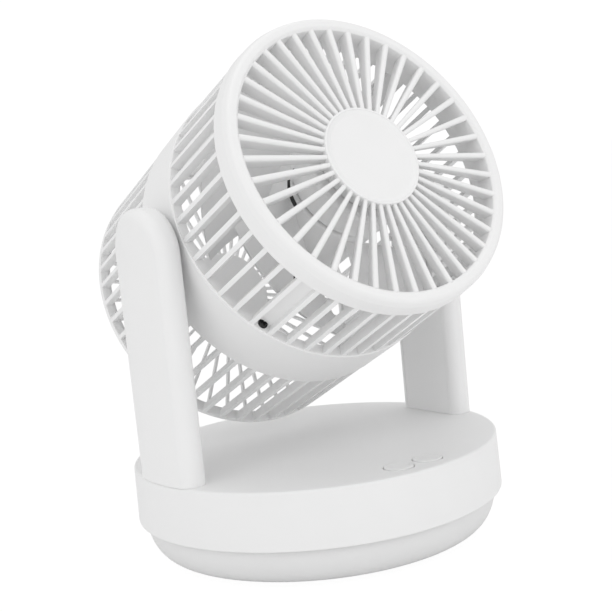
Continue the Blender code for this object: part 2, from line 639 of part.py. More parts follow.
def make_front_grille(look, head):
    """The bezel, its inner skirt, the guard fins and the centre disc, moulded as one piece."""
    bm = bmesh.new()
    outline = [(73.0, BEZEL_REAR), (72.3, 72.4), (71.3, 74.4), (69.9, BEZEL_FRONT), (67.4, BEZEL_FRONT),
               (OPENING_RADIUS, 75.3), (OPENING_RADIUS - 0.2, FIN_REAR), (SKIRT_RADIUS, SKIRT_REAR),
               (SKIRT_RADIUS + 1.2, SKIRT_REAR), (SKIRT_RADIUS + 1.2, BEZEL_REAR), (68.4, BEZEL_REAR),
               (68.4, 70.4), (71.9, 70.4), (71.9, BEZEL_REAR)]
    facets = Matrix.Rotation(math.radians(FIN_PHASE + 180.0 / FIN_COUNT), 4, "Z")
    add_turned(bm, outline, FIN_COUNT, facets)
    grille = make_piece("front_grille", bm, look["shell_white"], head)
    fins = bmesh.new()
    half = FIN_WIDTH / 2
    fin_end = OPENING_RADIUS + 0.6
    outline = [(21.0, FIN_REAR + 0.2), (fin_end, FIN_REAR + 0.2), (fin_end, FIN_FRONT),
               (23.6, FIN_FRONT), (23.6, 74.0), (21.0, 74.0)]
    upright = Matrix(((0, 0, -1, 0), (0, 1, 0, 0), (1, 0, 0, 0), (0, 0, 0, 1)))
    for index in range(FIN_COUNT):
        angle = FIN_PHASE + index * 360.0 / FIN_COUNT
        add_prism(fins, outline, -half, half, radial_frame(angle) @ upright)
    combine(grille, "fins", fins, "UNION")
    disc = bmesh.new()
    outline = [(0, 73.6), (20.0, 73.6), (20.0, FIN_REAR), (22.0, FIN_REAR), (22.0, 72.0),
               (DISC_RADIUS, 73.0), (DISC_RADIUS, 75.9), (DISC_RADIUS - 0.3, BEZEL_FRONT),
               (DISC_RADIUS - 1.2, BEZEL_FRONT), (DISC_RADIUS - 1.2, 74.4), (0, 74.4)]
    add_turned(disc, outline, FIN_COUNT, facets)
    combine(grille, "disc", disc, "UNION")
    window = bmesh.new()
    add_box(window, (-2.2, 60.2, 63), (2.2, 63.8, 67.5), radial_frame(218.8))
    combine(grille, "lead_window", window, "DIFFERENCE")

    bm = bmesh.new()
    add_turned(bm, [(0, 74.7), (DISC_RADIUS - 1.5, 74.7), (DISC_RADIUS - 1.5, 75.9), (0, 75.9)], 40)
    make_piece("grille_cap", bm, look["shell_white"], head)


def make_barrels(look, head):
    """The slotted side walls, the smooth band between them and the screws in their gutters."""
    bm = bmesh.new()
    levels = [(14.6, BARREL_INNER, BARREL_RADIUS), (BAND_FRONT + 0.4, BARREL_INNER, BARREL_RADIUS),
              (BEZEL_REAR - 1.1, BARREL_INNER, BARREL_RADIUS), (BEZEL_REAR + 0.2, BARREL_INNER, 71.5),
              (70.1, BARREL_INNER, 71.5)]
    add_slotted_tube(bm, levels, 1)
    front = make_piece("front_barrel", bm, look["shell_white"], head)
    gutters = bmesh.new()
    bosses = bmesh.new()
    holes = bmesh.new()
    gutter_half = math.radians(RIB_PITCH / 2) * BARREL_RADIUS
    rim = gutter_half - 0.4
    wall = gutter_half - RIB_WIDTH / 2 + 0.3
    section = [(-rim, GUTTER_INNER), (rim, GUTTER_INNER), (rim, 71.4), (wall, 71.4),
               (wall, GUTTER_INNER + GUTTER_FLOOR), (-wall, GUTTER_INNER + GUTTER_FLOOR),
               (-wall, 71.4), (-rim, 71.4)]
    for index, angle in enumerate(SCREW_ANGLES):
        frame = radial_frame(angle)
        swap = Matrix(((1, 0, 0, 0), (0, 0, 1, 0), (0, 1, 0, 0), (0, 0, 0, 1)))
        add_prism(gutters, section, BAND_FRONT - 2.0, BEZEL_REAR - 0.3, frame @ swap)
        add_box(bosses, (-rim + 0.2, 14.9, GUTTER_INNER + 0.1), (rim - 0.2, BAND_FRONT - 0.1, 71.3), frame)
        centre = polar(BARREL_SCREW_CIRCLE, angle)
        add_rod(holes, 1.6, (centre.x, centre.y, 4), (centre.x, centre.y, BAND_FRONT + 2), 8)
        screw = bmesh.new()
        base = (centre.x, centre.y, BAND_FRONT + 0.4 + GAP)
        add_screw(screw, base, (0, 0, 1), 2.5, 1.8, 1.25, 13, 12)
        make_piece(f"barrel_screw_{index + 1}", screw, look["screw_black"], head)
    combine(front, "gutters", gutters, "UNION")
    combine(front, "bosses", bosses, "UNION")
    combine(front, "screw_holes", holes, "DIFFERENCE")

    bm = bmesh.new()
    slip = BARREL_RADIUS + 0.4
    outline = [(BAND_RADIUS - 0.5, BAND_REAR), (BAND_RADIUS, BAND_REAR + 0.7), (BAND_RADIUS, BAND_FRONT - 0.7),
               (BAND_RADIUS - 0.5, BAND_FRONT), (slip, BAND_FRONT), (slip, 14.3), (67.2, 14.3), (67.2, 11.3),
               (70.8, 11.3), (70.8, -8.0), (slip, -8.0), (slip, BAND_REAR)]
    add_turned(bm, outline, 48)
    band = make_piece("mid_band", bm, look["shell_white"], head)
    holes = bmesh.new()
    for angle in SCREW_ANGLES:
        centre = polar(BARREL_SCREW_CIRCLE, angle)
        add_rod(holes, 1.6, (centre.x, centre.y, 4), (centre.x, centre.y, BAND_FRONT), 8)
    add_rod(holes, TRUNNION_RADIUS + GAP, (-80, 0, 0), (-65, 0, 0), 16)
    add_rod(holes, TRUNNION_RADIUS + GAP, (65, 0, 0), (80, 0, 0), 16)
    combine(band, "holes", holes, "DIFFERENCE")

    bm = bmesh.new()
    levels = [(HEAD_REAR, BARREL_INNER + 0.6, 72.9), (HEAD_REAR + 2.6, BARREL_INNER, 72.9),
              (BAND_REAR - 0.4, BARREL_INNER, BARREL_RADIUS), (-8.3, BARREL_INNER, BARREL_RADIUS)]
    add_slotted_tube(bm, levels, 1)
    make_piece("rear_barrel", bm, look["shell_white"], head)


def make_rear_grille(look, head):
    """The guard at the air inlet: radial bars between a hub disc and a rim."""
    front = HEAD_REAR + 2.4
    rear = HEAD_REAR
    bm = bmesh.new()
    facets = Matrix.Rotation(math.radians(FIN_PHASE + 180.0 / FIN_COUNT), 4, "Z")
    add_turned(bm, [(67.8, rear), (BARREL_INNER + 0.3, rear), (BARREL_INNER - 0.3, front), (67.8, front)],
               FIN_COUNT, facets)
    grille = make_piece("rear_grille", bm, look["shell_white"], head)
    bars = bmesh.new()
    for index in range(FIN_COUNT):
        angle = FIN_PHASE + index * 360.0 / FIN_COUNT
        add_box(bars, (-0.8, rear + 0.1, 20), (0.8, front - 0.1, 68.5), radial_frame(angle))
    combine(grille, "bars", bars, "UNION")
    hub = bmesh.new()
    add_turned(hub, [(0, rear), (22, rear), (22, front), (0, front)], FIN_COUNT, facets)
    combine(grille, "hub", hub, "UNION")


def make_fan_motor(look, head):
    """The fan motor behind the grille's disc: white pod, dark can, lead."""
    bm = bmesh.new()
    bore = CAN_RADIUS + GAP
    outline = [(0, POD_FRONT), (POD_RADIUS - 1.2, POD_FRONT), (POD_RADIUS, POD_FRONT - 1.2),
               (POD_RADIUS, POD_REAR), (bore, POD_REAR), (bore, POD_FRONT - 2.0), (0, POD_FRONT - 2.0)]
    add_turned(bm, outline, 32)
    pod = make_piece("motor_pod", bm, look["shell_white"], head)
    bm = bmesh.new()
    add_rod(bm, LEAD_RADIUS + 0.5, polar(24, 221, 60.5), polar(30, 221, 60.5), 8)
    combine(pod, "lead_hole", bm, "DIFFERENCE")

    bm = bmesh.new()
    can_front = POD_FRONT - 2.0 - GAP
    add_turned(bm, [(0, CAN_REAR), (CAN_RADIUS - 0.4, CAN_REAR), (CAN_RADIUS, CAN_REAR + 0.4),
                    (CAN_RADIUS, can_front), (0, can_front)], 32)
    make_piece("fan_motor", bm, look["part_black"], head)

    route = [polar(CAN_RADIUS + 0.4, 221, 60.5), polar(34, 221, 61.3), polar(50, 220.4, 62.2),
             polar(60, 219.6, 62.2), polar(63.2, 219.6, 60.0), polar(63.4, 221.5, 55.5),
             polar(64.6, 224.3, 50), polar(LEAD_CIRCLE, 225, 44), polar(LEAD_CIRCLE, 225, 36),
             polar(LEAD_CIRCLE, 224.6, 29),
             polar(LEAD_CIRCLE, 221, 22), polar(64.8, 218, 16), polar(64.6, 211, 9), polar(64.4, 200, 4),
             polar(64.6, 189, 1), polar(66.6, 182, 0), (-71.5, 0, 0), (-TRUNNION_END, 0, 0)]
    lead_curve("motor_lead", route, LEAD_RADIUS, look["lead_black"], head)


def make_impeller(look, head):
    """Hub, swept blades, shaft and nut, all turning on the air axis."""
    spin = make_axis("impeller_axis", (0, 0, 0), (0, 0, 0), head)
    bm = bmesh.new()
    bore = SHAFT_RADIUS + GAP
    outline = [(HUB_RADIUS, HUB_REAR), (HUB_RADIUS, HUB_FRONT - 2.0), (HUB_RADIUS - 2.0, HUB_FRONT),
               (bore, HUB_FRONT), (bore, 20), (5, 20), (5, HUB_FRONT - 2.4),
               (HUB_RADIUS - 2.0, HUB_FRONT - 2.4), (HUB_RADIUS - 2.0, HUB_REAR)]
    add_turned(bm, outline, 36)
    impeller = make_piece("impeller", bm, look["impeller_white"], spin)
    blades = bmesh.new()
    for index in range(BLADE_COUNT):
        add_blade(blades, index * 360.0 / BLADE_COUNT)
    combine(impeller, "blades", blades, "UNION")

    bm = bmesh.new()
    add_turned(bm, [(0, 16), (SHAFT_RADIUS, 16), (SHAFT_RADIUS, CAN_REAR - GAP), (0, CAN_REAR - GAP)], 12)
    make_piece("motor_shaft", bm, look["screw_steel"], spin)
    bm = bmesh.new()
    add_turned(bm, [(bore, 16.6), (4.2, 16.6), (4.2, 19.7), (bore, 19.7)], 12)
    make_piece("hub_nut", bm, look["screw_steel"], spin)


def add_blade(bm, start):
    """A twisted blade whose outline widens towards the tip."""
    rows = 4
    steps = 5
    sheets = []
    for face in (-1, 1):
        sheet = []
        for row in range(rows):
            share = row / (rows - 1)
            radius = HUB_RADIUS - 0.8 + share * (BLADE_TIP - HUB_RADIUS + 0.8)
            depth = 24.0 + 2.0 * share
            width = 20.0 + 28.0 * share
            half_wall = 1.1 - 0.35 * share
            line = []
            for step in range(steps):
                along = step / (steps - 1) - 0.5
                camber = 3.0 * (1 - 4 * along ** 2)
                thin = half_wall * (1 - 3 * along ** 2) * face
                angle = start + 12 * share + math.degrees((width * along) / radius)
                line.append(bm.verts.new(polar(radius, angle, BLADE_MIDDLE - depth * along + camber + thin)))
            sheet.append(line)
        sheets.append(sheet)
    lower, upper = sheets
    for row in range(rows - 1):
        for step in range(steps - 1):
            for sheet in sheets:
                bm.faces.new((sheet[row][step], sheet[row][step + 1],
                              sheet[row + 1][step + 1], sheet[row + 1][step]))
    rim = [(row, 0) for row in range(rows)] + [(rows - 1, step) for step in range(1, steps)]
    rim += [(row, steps - 1) for row in range(rows - 2, -1, -1)]
    rim += [(0, step) for step in range(steps - 2, 0, -1)]
    for here, there in zip(rim, rim[1:] + rim[:1]):
        bm.faces.new((lower[here[0]][here[1]], lower[there[0]][there[1]],
                      upper[there[0]][there[1]], upper[here[0]][here[1]]))


def make_materials():
    """One plain surface for each finish on the fan."""
    return {
        "shell_white": make_material("shell_white", (0.86, 0.86, 0.86), 0.42),
        "plinth_white": make_material("plinth_white", (0.80, 0.80, 0.80), 0.5),
        "button_white": make_material("button_white", (0.84, 0.84, 0.84), 0.45),
        "impeller_white": make_material("impeller_white", (0.80, 0.80, 0.81), 0.35),
        "gear_nylon": make_material("gear_nylon", (0.72, 0.71, 0.66), 0.5),
        "rubber_grey": make_material("rubber_grey", (0.16, 0.16, 0.16), 0.85),
        "screw_steel": make_material("screw_steel", (0.55, 0.55, 0.55), 0.35, 1.0),
        "screw_black": make_material("screw_black", (0.06, 0.06, 0.06), 0.35, 1.0),
        "part_black": make_material("part_black", (0.02, 0.02, 0.02), 0.5),
        "lead_black": make_material("lead_black", (0.015, 0.015, 0.015), 0.55),
        "board_green": make_material("board_green", (0.03, 0.16, 0.07), 0.45),
        "battery_blue": make_material("battery_blue", (0.05, 0.16, 0.42), 0.4),
        "motor_grey": make_material("motor_grey", (0.45, 0.46, 0.47), 0.4, 1.0),
    }


def main():
    """Builds the fan at rest."""
    clear_scene()
    look = make_materials()
    turntable = make_axis("turntable_axis", (0, 0, 0), (0, 0, 0))
    head = make_axis("head_axis", (0, 0, PIVOT_HEIGHT), (math.radians(90 - HEAD_TILT), 0, 0), turntable)
    make_plinth(look)
    make_drum(look, turntable)
    make_pinion(look, turntable)
    make_buttons(look, turntable)
    make_arms(look, turntable)
    make_trunnions(look, head)
    make_front_grille(look, head)
    make_barrels(look, head)
    make_rear_grille(look, head)
    make_fan_motor(look, head)
    make_impeller(look, head)


main()
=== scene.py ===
"""Looks of the desk fan: fine moulded shells, grilles and fan around the fixed frame.

Shapes are worked out in millimetres. The head's own frame has its origin on the tilt axis,
X along that axis and Z along the air axis, towards the front. The base and the arms use the
frame of the whole fan: Z up, the front towards -Y.
"""
import math

import bmesh
import bpy
from mathutils import Matrix, Vector


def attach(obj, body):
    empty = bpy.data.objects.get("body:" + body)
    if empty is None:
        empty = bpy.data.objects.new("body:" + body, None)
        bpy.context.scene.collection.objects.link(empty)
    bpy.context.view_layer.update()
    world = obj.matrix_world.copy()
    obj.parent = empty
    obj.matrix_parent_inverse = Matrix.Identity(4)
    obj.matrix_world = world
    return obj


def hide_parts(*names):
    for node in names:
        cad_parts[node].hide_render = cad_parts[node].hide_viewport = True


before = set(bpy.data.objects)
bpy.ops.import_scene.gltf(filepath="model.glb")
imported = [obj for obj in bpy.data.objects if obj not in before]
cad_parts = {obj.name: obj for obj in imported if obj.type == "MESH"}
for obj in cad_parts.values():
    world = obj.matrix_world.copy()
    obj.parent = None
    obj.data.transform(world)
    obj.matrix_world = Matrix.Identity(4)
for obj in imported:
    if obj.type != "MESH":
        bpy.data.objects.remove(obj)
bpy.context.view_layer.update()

MM = 0.001
UPRIGHT = Matrix.Identity(4)
PIVOT_HEIGHT = 152.4
HEAD_TILT = 26.2
HEAD = Matrix.Translation((0, 0, PIVOT_HEIGHT)) @ Matrix.Rotation(math.radians(90 - HEAD_TILT), 4, "X")

# Base
BASE_RADIUS = 90.0
DECK_TOP = 47.2
DRUM_BOTTOM = 20.1
BOWL_TOP = 20.4
BOWL_RIM = 87.0
BOWL_FOOT = 74.4
BOWL_FLOOR = 1.8
FOOT_CIRCLE = 62.0
BUTTON_X = 8.5
BUTTON_Y = -75.5
BUTTON_RADIUS = 6.75
INLET_HEIGHT = 32.0

# Arms
ARM_INNER = 75.4
ARM_BOTTOM = 47.25
ARM_TOP = 151.6
ARM_HALF_WIDTH = 22.0
ARM_TOP_SHIFT = -2.0
ARM_FOOT_SHIFT = -0.7
ARM_FILLET = 5.0
ARM_INNER_FILLET = 5.2

# Head
BAND_RADIUS = 73.75
BARREL_RADIUS = 73.3
BARREL_MOUTH_RADIUS = 72.2
BARREL_INNER = 69.0
REAR_RADIUS = 73.5
FIN_COUNT = 40
FIN_PHASE = 3.8
FIN_FRONT = 75.6
FIN_OUTER = 66.1
FIN_LEAN = 6.0
DISC_RADIUS = 22.6
RIB_COUNT = 48
RIB_PITCH = 360.0 / RIB_COUNT
RIB_WIDTH = 2.2
SLOT_COLUMNS = 3
SCREW_ANGLES = (45, 135, 225, 315)
SCREW_SEAT = 20.9
BARREL_SCREW_CIRCLE = 70.0
POD_RADIUS = 27.5
HUB_RADIUS = 27.0
BLADE_COUNT = 5
BLADE_TIP = 62.8
LEAD_RADIUS = 0.9
LEAD_CIRCLE = 65.2


# ---------------------------------------------------------------- shapes

def polar(radius, angle, height=0.0):
    """A point from its radius, its angle in degrees and its height."""
    turn = math.radians(angle)
    return Vector((radius * math.cos(turn), radius * math.sin(turn), height))


def radial_frame(angle):
    """Local X runs round the axis, local Y along it and local Z outwards."""
    turn = math.radians(angle)
    along = Vector((-math.sin(turn), math.cos(turn), 0.0))
    outward = Vector((math.cos(turn), math.sin(turn), 0.0))
    return Matrix((along, Vector((0.0, 0.0, 1.0)), outward)).transposed().to_4x4()


def across(side):
    """A frame whose Z axis points out of the head's side, along the tilt axis."""
    return Vector((side, 0, 0)).to_track_quat("Z", "Y").to_matrix().to_4x4()


def soften(corners, steps=5):
    """Rounds an outline's corners, each given as (x, y) or (x, y, radius)."""
    path = []
    count = len(corners)
    for index, corner in enumerate(corners):
        here = Vector(corner[:2])
        radius = corner[2] if len(corner) > 2 else 0.0
        if radius == 0.0:
            path.append(tuple(here))
            continue
        before = (Vector(corners[index - 1][:2]) - here).normalized()
        after = (Vector(corners[(index + 1) % count][:2]) - here).normalized()
        half = before.angle(after) / 2
        reach = radius / math.tan(half)
        centre = here + (before + after).normalized() * (radius / math.sin(half))
        start = here + before * reach - centre
        end = here + after * reach - centre
        first = math.atan2(start.y, start.x)
        sweep = (math.atan2(end.y, end.x) - first + math.pi) % math.tau - math.pi
        for step in range(steps + 1):
            turn = first + sweep * step / steps
            path.append((centre.x + radius * math.cos(turn), centre.y + radius * math.sin(turn)))
    return path


def place_verts(bm, verts, matrix):
    if matrix is not None:
        bmesh.ops.transform(bm, matrix=matrix, verts=verts)


def turned(bm, corners, segments, matrix=None, steps=5):
    """Turns an outline of (radius, height, corner radius) points about the Z axis."""
    outline = soften(corners, steps)
    rings = []
    made = []
    for radius, height in outline:
        if radius < 1e-6:
            ring = [bm.verts.new((0.0, 0.0, height))] * segments
            made.append(ring[0])
        else:
            ring = [bm.verts.new(polar(radius, 360.0 * index / segments, height)) for index in range(segments)]
            made.extend(ring)
        rings.append(ring)
    closed = outline[0][0] > 1e-6
    for ring, lower in zip(rings, rings[1:] + (rings[:1] if closed else [])):
        for index in range(segments):
            after = (index + 1) % segments
            corners_here = []
            for vert in (ring[index], ring[after], lower[after], lower[index]):
                if vert not in corners_here:
                    corners_here.append(vert)
            if len(corners_here) > 2:
                bm.faces.new(corners_here)
    place_verts(bm, made, matrix)


def prism(bm, corners, bottom, top, matrix=None, steps=4):
    """Extrudes an outline of (x, y, corner radius) points from one height to another."""
    outline = soften(corners, steps)
    lower = [bm.verts.new((x, y, bottom)) for x, y in outline]
    upper = [bm.verts.new((x, y, top)) for x, y in outline]
    bm.faces.new(lower)
    bm.faces.new(upper)
    for index in range(len(outline)):
        after = (index + 1) % len(outline)
        bm.faces.new((lower[index], lower[after], upper[after], upper[index]))
    place_verts(bm, lower + upper, matrix)


def block(bm, low, high, matrix=None):
    """A box between two corners."""
    corners = [(low[0], low[1]), (high[0], low[1]), (high[0], high[1]), (low[0], high[1])]
    prism(bm, corners, low[2], high[2], matrix)


def rod(bm, radius, start, end, segments=32):
    """A round rod from one point to another."""
    start = Vector(start)
    run = Vector(end) - start
    turn = run.to_track_quat("Z", "Y").to_matrix().to_4x4()
    turned(bm, [(0, 0), (radius, 0), (radius, run.length), (0, run.length)], segments,
           Matrix.Translation(start) @ turn)


def loft(bm, sections):
    """Skins closed sections of equal length one after another and caps both ends."""
    rows = [[bm.verts.new(point) for point in section] for section in sections]
    count = len(rows[0])
    for row, after in zip(rows, rows[1:]):
        for index in range(count):
            beside = (index + 1) % count
            bm.faces.new((row[index], row[beside], after[beside], after[index]))
    bm.faces.new(rows[0])
    bm.faces.new(rows[-1])


def piece(name, bm, material, body, nodes, matrix=UPRIGHT):
    """Makes a finished mesh an object of the fan: it rides on its body and stands for its nodes."""
    bmesh.ops.recalc_face_normals(bm, faces=bm.faces)
    bm.transform(Matrix.Scale(MM, 4) @ matrix)
    mesh = bpy.data.meshes.new(name)
    bm.to_mesh(mesh)
    bm.free()
    mesh.shade_smooth()
    mesh.set_sharp_from_angle(angle=math.radians(38))
    mesh.materials.append(material)
    made = bpy.data.objects.new(name, mesh)
    bpy.context.scene.collection.objects.link(made)
    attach(made, body)
    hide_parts(*nodes)
    return made


def cut(target, bm, matrix=UPRIGHT):
    """Takes a shape out of a piece at once, so that no cutter stays behind."""
    bmesh.ops.recalc_face_normals(bm, faces=bm.faces)
    bm.transform(Matrix.Scale(MM, 4) @ matrix)
    mesh = bpy.data.meshes.new("cutter")
    bm.to_mesh(mesh)
    bm.free()
    cutter = bpy.data.objects.new("cutter", mesh)
    bpy.context.scene.collection.objects.link(cutter)
    modifier = target.modifiers.new("cut", "BOOLEAN")
    modifier.operation = "DIFFERENCE"
    modifier.solver = "EXACT"
    modifier.object = cutter
    bpy.context.view_layer.update()
    shaped = bpy.data.meshes.new_from_object(target.evaluated_get(bpy.context.evaluated_depsgraph_get()))
    target.modifiers.remove(modifier)
    target.data = shaped
    bpy.data.objects.remove(cutter)


def round_edges(target, width, segments=3, angle=50):
    """Gives a piece's sharp edges the small radius of a moulding."""
    bevel = target.modifiers.new("edge_radius", "BEVEL")
    bevel.width = width * MM
    bevel.segments = segments
    bevel.limit_method = "ANGLE"
    bevel.angle_limit = math.radians(angle)
    bevel.harden_normals = True
    bevel.miter_outer = "MITER_ARC"


def even_shading(target):
    """Keeps large flat faces flat beside their rounded edges."""
    weighted = target.modifiers.new("even_shading", "WEIGHTED_NORMAL")
    weighted.keep_sharp = True
    weighted.weight = 80


# ---------------------------------------------------------------- finishes

def new_group(name, inputs, outputs):
    tree = bpy.data.node_groups.new(name, "ShaderNodeTree")
    for label, default in inputs:
        socket = tree.interface.new_socket(label, in_out="INPUT", socket_type="NodeSocketFloat")
        socket.default_value = default
    for label, kind in outputs:
        tree.interface.new_socket(label, in_out="OUTPUT", socket_type=kind)
    return tree, tree.nodes.new("NodeGroupInput"), tree.nodes.new("NodeGroupOutput")


def moulded_grain_group():
    """Spark-eroded mould grain, slow flow waviness and faint tone mottling."""
    tree, given, out = new_group(
        "moulded_grain",
        [("Grain Scale", 3200.0), ("Grain Share", 0.5), ("Flow Scale", 60.0)],
        [("Height", "NodeSocketFloat"), ("Mottle", "NodeSocketFloat")])
    place = tree.nodes.new("ShaderNodeTexCoord")
    grain = tree.nodes.new("ShaderNodeTexNoise")
    grain.inputs["Detail"].default_value = 3.0
    grain.inputs["Roughness"].default_value = 0.6
    pits = tree.nodes.new("ShaderNodeTexVoronoi")
    pits.feature = "SMOOTH_F1"
    flow = tree.nodes.new("ShaderNodeTexNoise")
    flow.inputs["Detail"].default_value = 2.0
    for texture, label in ((grain, "Grain Scale"), (pits, "Grain Scale"), (flow, "Flow Scale")):
        tree.links.new(place.outputs["Object"], texture.inputs["Vector"])
        tree.links.new(given.outputs[label], texture.inputs["Scale"])
    both = tree.nodes.new("ShaderNodeMix")
    tree.links.new(given.outputs["Grain Share"], both.inputs["Factor"])
    tree.links.new(pits.outputs["Distance"], both.inputs["A"])
    tree.links.new(grain.outputs["Fac"], both.inputs["B"])
    tree.links.new(both.outputs["Result"], out.inputs["Height"])
    tree.links.new(flow.outputs["Fac"], out.inputs["Mottle"])
    return tree


def brushed_group():
    """Fine turning lines with a little dirt, for metal."""
    tree, given, out = new_group(
        "turned_metal",
        [("Line Scale", 900.0)],
        [("Lines", "NodeSocketFloat"), ("Stain", "NodeSocketFloat")])
    place = tree.nodes.new("ShaderNodeTexCoord")
    stretch = tree.nodes.new("ShaderNodeMapping")
    stretch.inputs["Scale"].default_value = (1.0, 1.0, 6.0)
    lines = tree.nodes.new("ShaderNodeTexNoise")
    lines.inputs["Detail"].default_value = 4.0
    stain = tree.nodes.new("ShaderNodeTexNoise")
    stain.inputs["Scale"].default_value = 220.0
    tree.links.new(place.outputs["Object"], stretch.inputs["Vector"])
    tree.links.new(stretch.outputs["Vector"], lines.inputs["Vector"])
    tree.links.new(given.outputs["Line Scale"], lines.inputs["Scale"])
    tree.links.new(place.outputs["Object"], stain.inputs["Vector"])
    tree.links.new(lines.outputs["Fac"], out.inputs["Lines"])
    tree.links.new(stain.outputs["Fac"], out.inputs["Stain"])
    return tree


def patterned(name, group, settings, wear, relief, tones, roughness, specular=0.5, metallic=0.0):
    """A surface whose tone and roughness follow one output of a group and its relief another."""
    material = bpy.data.materials.new(name)
    material.use_nodes = True
    tree = material.node_tree
    shader = tree.nodes["Principled BSDF"]
    shader.inputs["Metallic"].default_value = metallic
    shader.inputs["Specular IOR Level"].default_value = specular
    pattern = tree.nodes.new("ShaderNodeGroup")
    pattern.node_tree = group
    for label, value in settings.items():
        pattern.inputs[label].default_value = value
    tone = tree.nodes.new("ShaderNodeMix")
    tone.data_type = "RGBA"
    tone.inputs["A"].default_value = (*tones[0], 1.0)
    tone.inputs["B"].default_value = (*tones[1], 1.0)
    tree.links.new(pattern.outputs[wear], tone.inputs["Factor"])
    tree.links.new(tone.outputs["Result"], shader.inputs["Base Color"])
    gloss = tree.nodes.new("ShaderNodeMapRange")
    gloss.inputs["From Min"].default_value = 0.3
    gloss.inputs["From Max"].default_value = 0.7
    gloss.inputs["To Min"].default_value = roughness[0]
    gloss.inputs["To Max"].default_value = roughness[1]
    tree.links.new(pattern.outputs[wear], gloss.inputs["Value"])
    tree.links.new(gloss.outputs["Result"], shader.inputs["Roughness"])
    bump = tree.nodes.new("ShaderNodeBump")
    bump.inputs["Strength"].default_value = relief[0]
    bump.inputs["Distance"].default_value = relief[1] * MM
    tree.links.new(pattern.outputs[relief[2]], bump.inputs["Height"])
    tree.links.new(bump.outputs["Normal"], shader.inputs["Normal"])
    return material


def plastic(name, tones, roughness, depth, scale=3200.0, specular=0.5):
    settings = {"Grain Scale": scale, "Grain Share": 0.55, "Flow Scale": 55.0}
    return patterned(name, GRAIN, settings, "Mottle", (0.5, depth, "Height"), tones, roughness, specular)


def metal(name, tones, roughness, metallic=1.0):
    settings = {"Line Scale": 900.0}
    return patterned(name, METAL, settings, "Stain", (0.3, 0.02, "Lines"), tones, roughness, 0.5, metallic)


def grey(level):
    return (level, level, level)


GRAIN = moulded_grain_group()
METAL = brushed_group()
LOOK = {
    "head_white": plastic("head_white", (grey(0.865), grey(0.885)), (0.36, 0.44), 0.010, 5200.0),
    "arm_white": plastic("arm_white", (grey(0.86), grey(0.88)), (0.46, 0.54), 0.022, 3600.0),
    "drum_white": plastic("drum_white", (grey(0.86), grey(0.88)), (0.46, 0.54), 0.022, 3600.0),
    "plinth_grey": plastic("plinth_grey", (grey(0.80), grey(0.82)), (0.48, 0.56), 0.022, 3600.0),
    "button_white": plastic("button_white", (grey(0.84), grey(0.86)), (0.40, 0.48), 0.012, 4600.0),
    "fan_white": plastic("fan_white", (grey(0.84), grey(0.86)), (0.28, 0.36), 0.008, 5200.0),
    "nylon": plastic("nylon", ((0.70, 0.69, 0.64), (0.74, 0.73, 0.68)), (0.42, 0.52), 0.02),
    "foot_rubber": plastic("foot_rubber", (grey(0.15), grey(0.18)), (0.80, 0.90), 0.05, 2200.0, 0.3),
    "part_black": plastic("part_black", (grey(0.018), grey(0.026)), (0.42, 0.55), 0.02),
    "motor_black": plastic("motor_black", (grey(0.010), grey(0.016)), (0.35, 0.5), 0.02),
    "lead_black": plastic("lead_black", (grey(0.012), grey(0.018)), (0.48, 0.58), 0.02),
    "board_green": plastic("board_green", ((0.02, 0.13, 0.05), (0.035, 0.17, 0.07)), (0.35, 0.5), 0.02, 1200.0),
    "battery_blue": plastic("battery_blue", ((0.04, 0.14, 0.38), (0.06, 0.17, 0.44)), (0.28, 0.4), 0.01),
    "screw_steel": metal("screw_steel", (grey(0.50), grey(0.60)), (0.28, 0.42)),
    "screw_black": metal("screw_black", (grey(0.030), grey(0.055)), (0.30, 0.45)),
    "motor_grey": metal("motor_grey", ((0.42, 0.43, 0.44), (0.50, 0.51, 0.52)), (0.32, 0.46)),
}


# ---------------------------------------------------------------- base

def plinth():
    """The rounded bowl under the drum, with a shallow step underneath, and its four rubber feet."""
    rim = [(BOWL_RIM - 2.4, BOWL_TOP), (BOWL_RIM, BOWL_TOP, 0.5)]
    side = []
    for step in range(1, 15):
        turn = math.radians(step * 6.0)
        radius = BOWL_FOOT + (BOWL_RIM - BOWL_FOOT) * math.cos(turn)
        side.append((radius, BOWL_TOP - (BOWL_TOP - BOWL_FLOOR) * math.sin(turn)))
    floor = [(BOWL_FOOT - 2.0, BOWL_FLOOR), (46.0, BOWL_FLOOR, 0.5), (45.4, BOWL_FLOOR + 0.6, 0.3),
             (0, BOWL_FLOOR + 0.6)]
    inside = [(0, BOWL_FLOOR + 2.6), (BOWL_FOOT - 4.0, BOWL_FLOOR + 2.6, 3.0), (BOWL_RIM - 2.4, BOWL_TOP - 6.0, 2.0)]
    bm = bmesh.new()
    turned(bm, list(reversed(rim + side + floor + inside)), 240)
    bowl = piece("moulded_plinth", bm, LOOK["plinth_grey"], "plinth", ["plinth_bowl"])
    even_shading(bowl)
    for index in range(4):
        centre = polar(FOOT_CIRCLE, 45 + index * 90)
        bm = bmesh.new()
        turned(bm, [(0, 0.3), (5.4, 0.3, 0.2), (5.6, 0.0, 0.2), (6.6, 0.0, 0.4), (7.0, 1.5, 0.2), (0, 1.5)],
               64, Matrix.Translation(centre))
        foot = piece(f"ribbed_foot_{index + 1}", bm, LOOK["foot_rubber"], "plinth",
                     [f"rubber_foot_{index + 1}"])
        even_shading(foot)


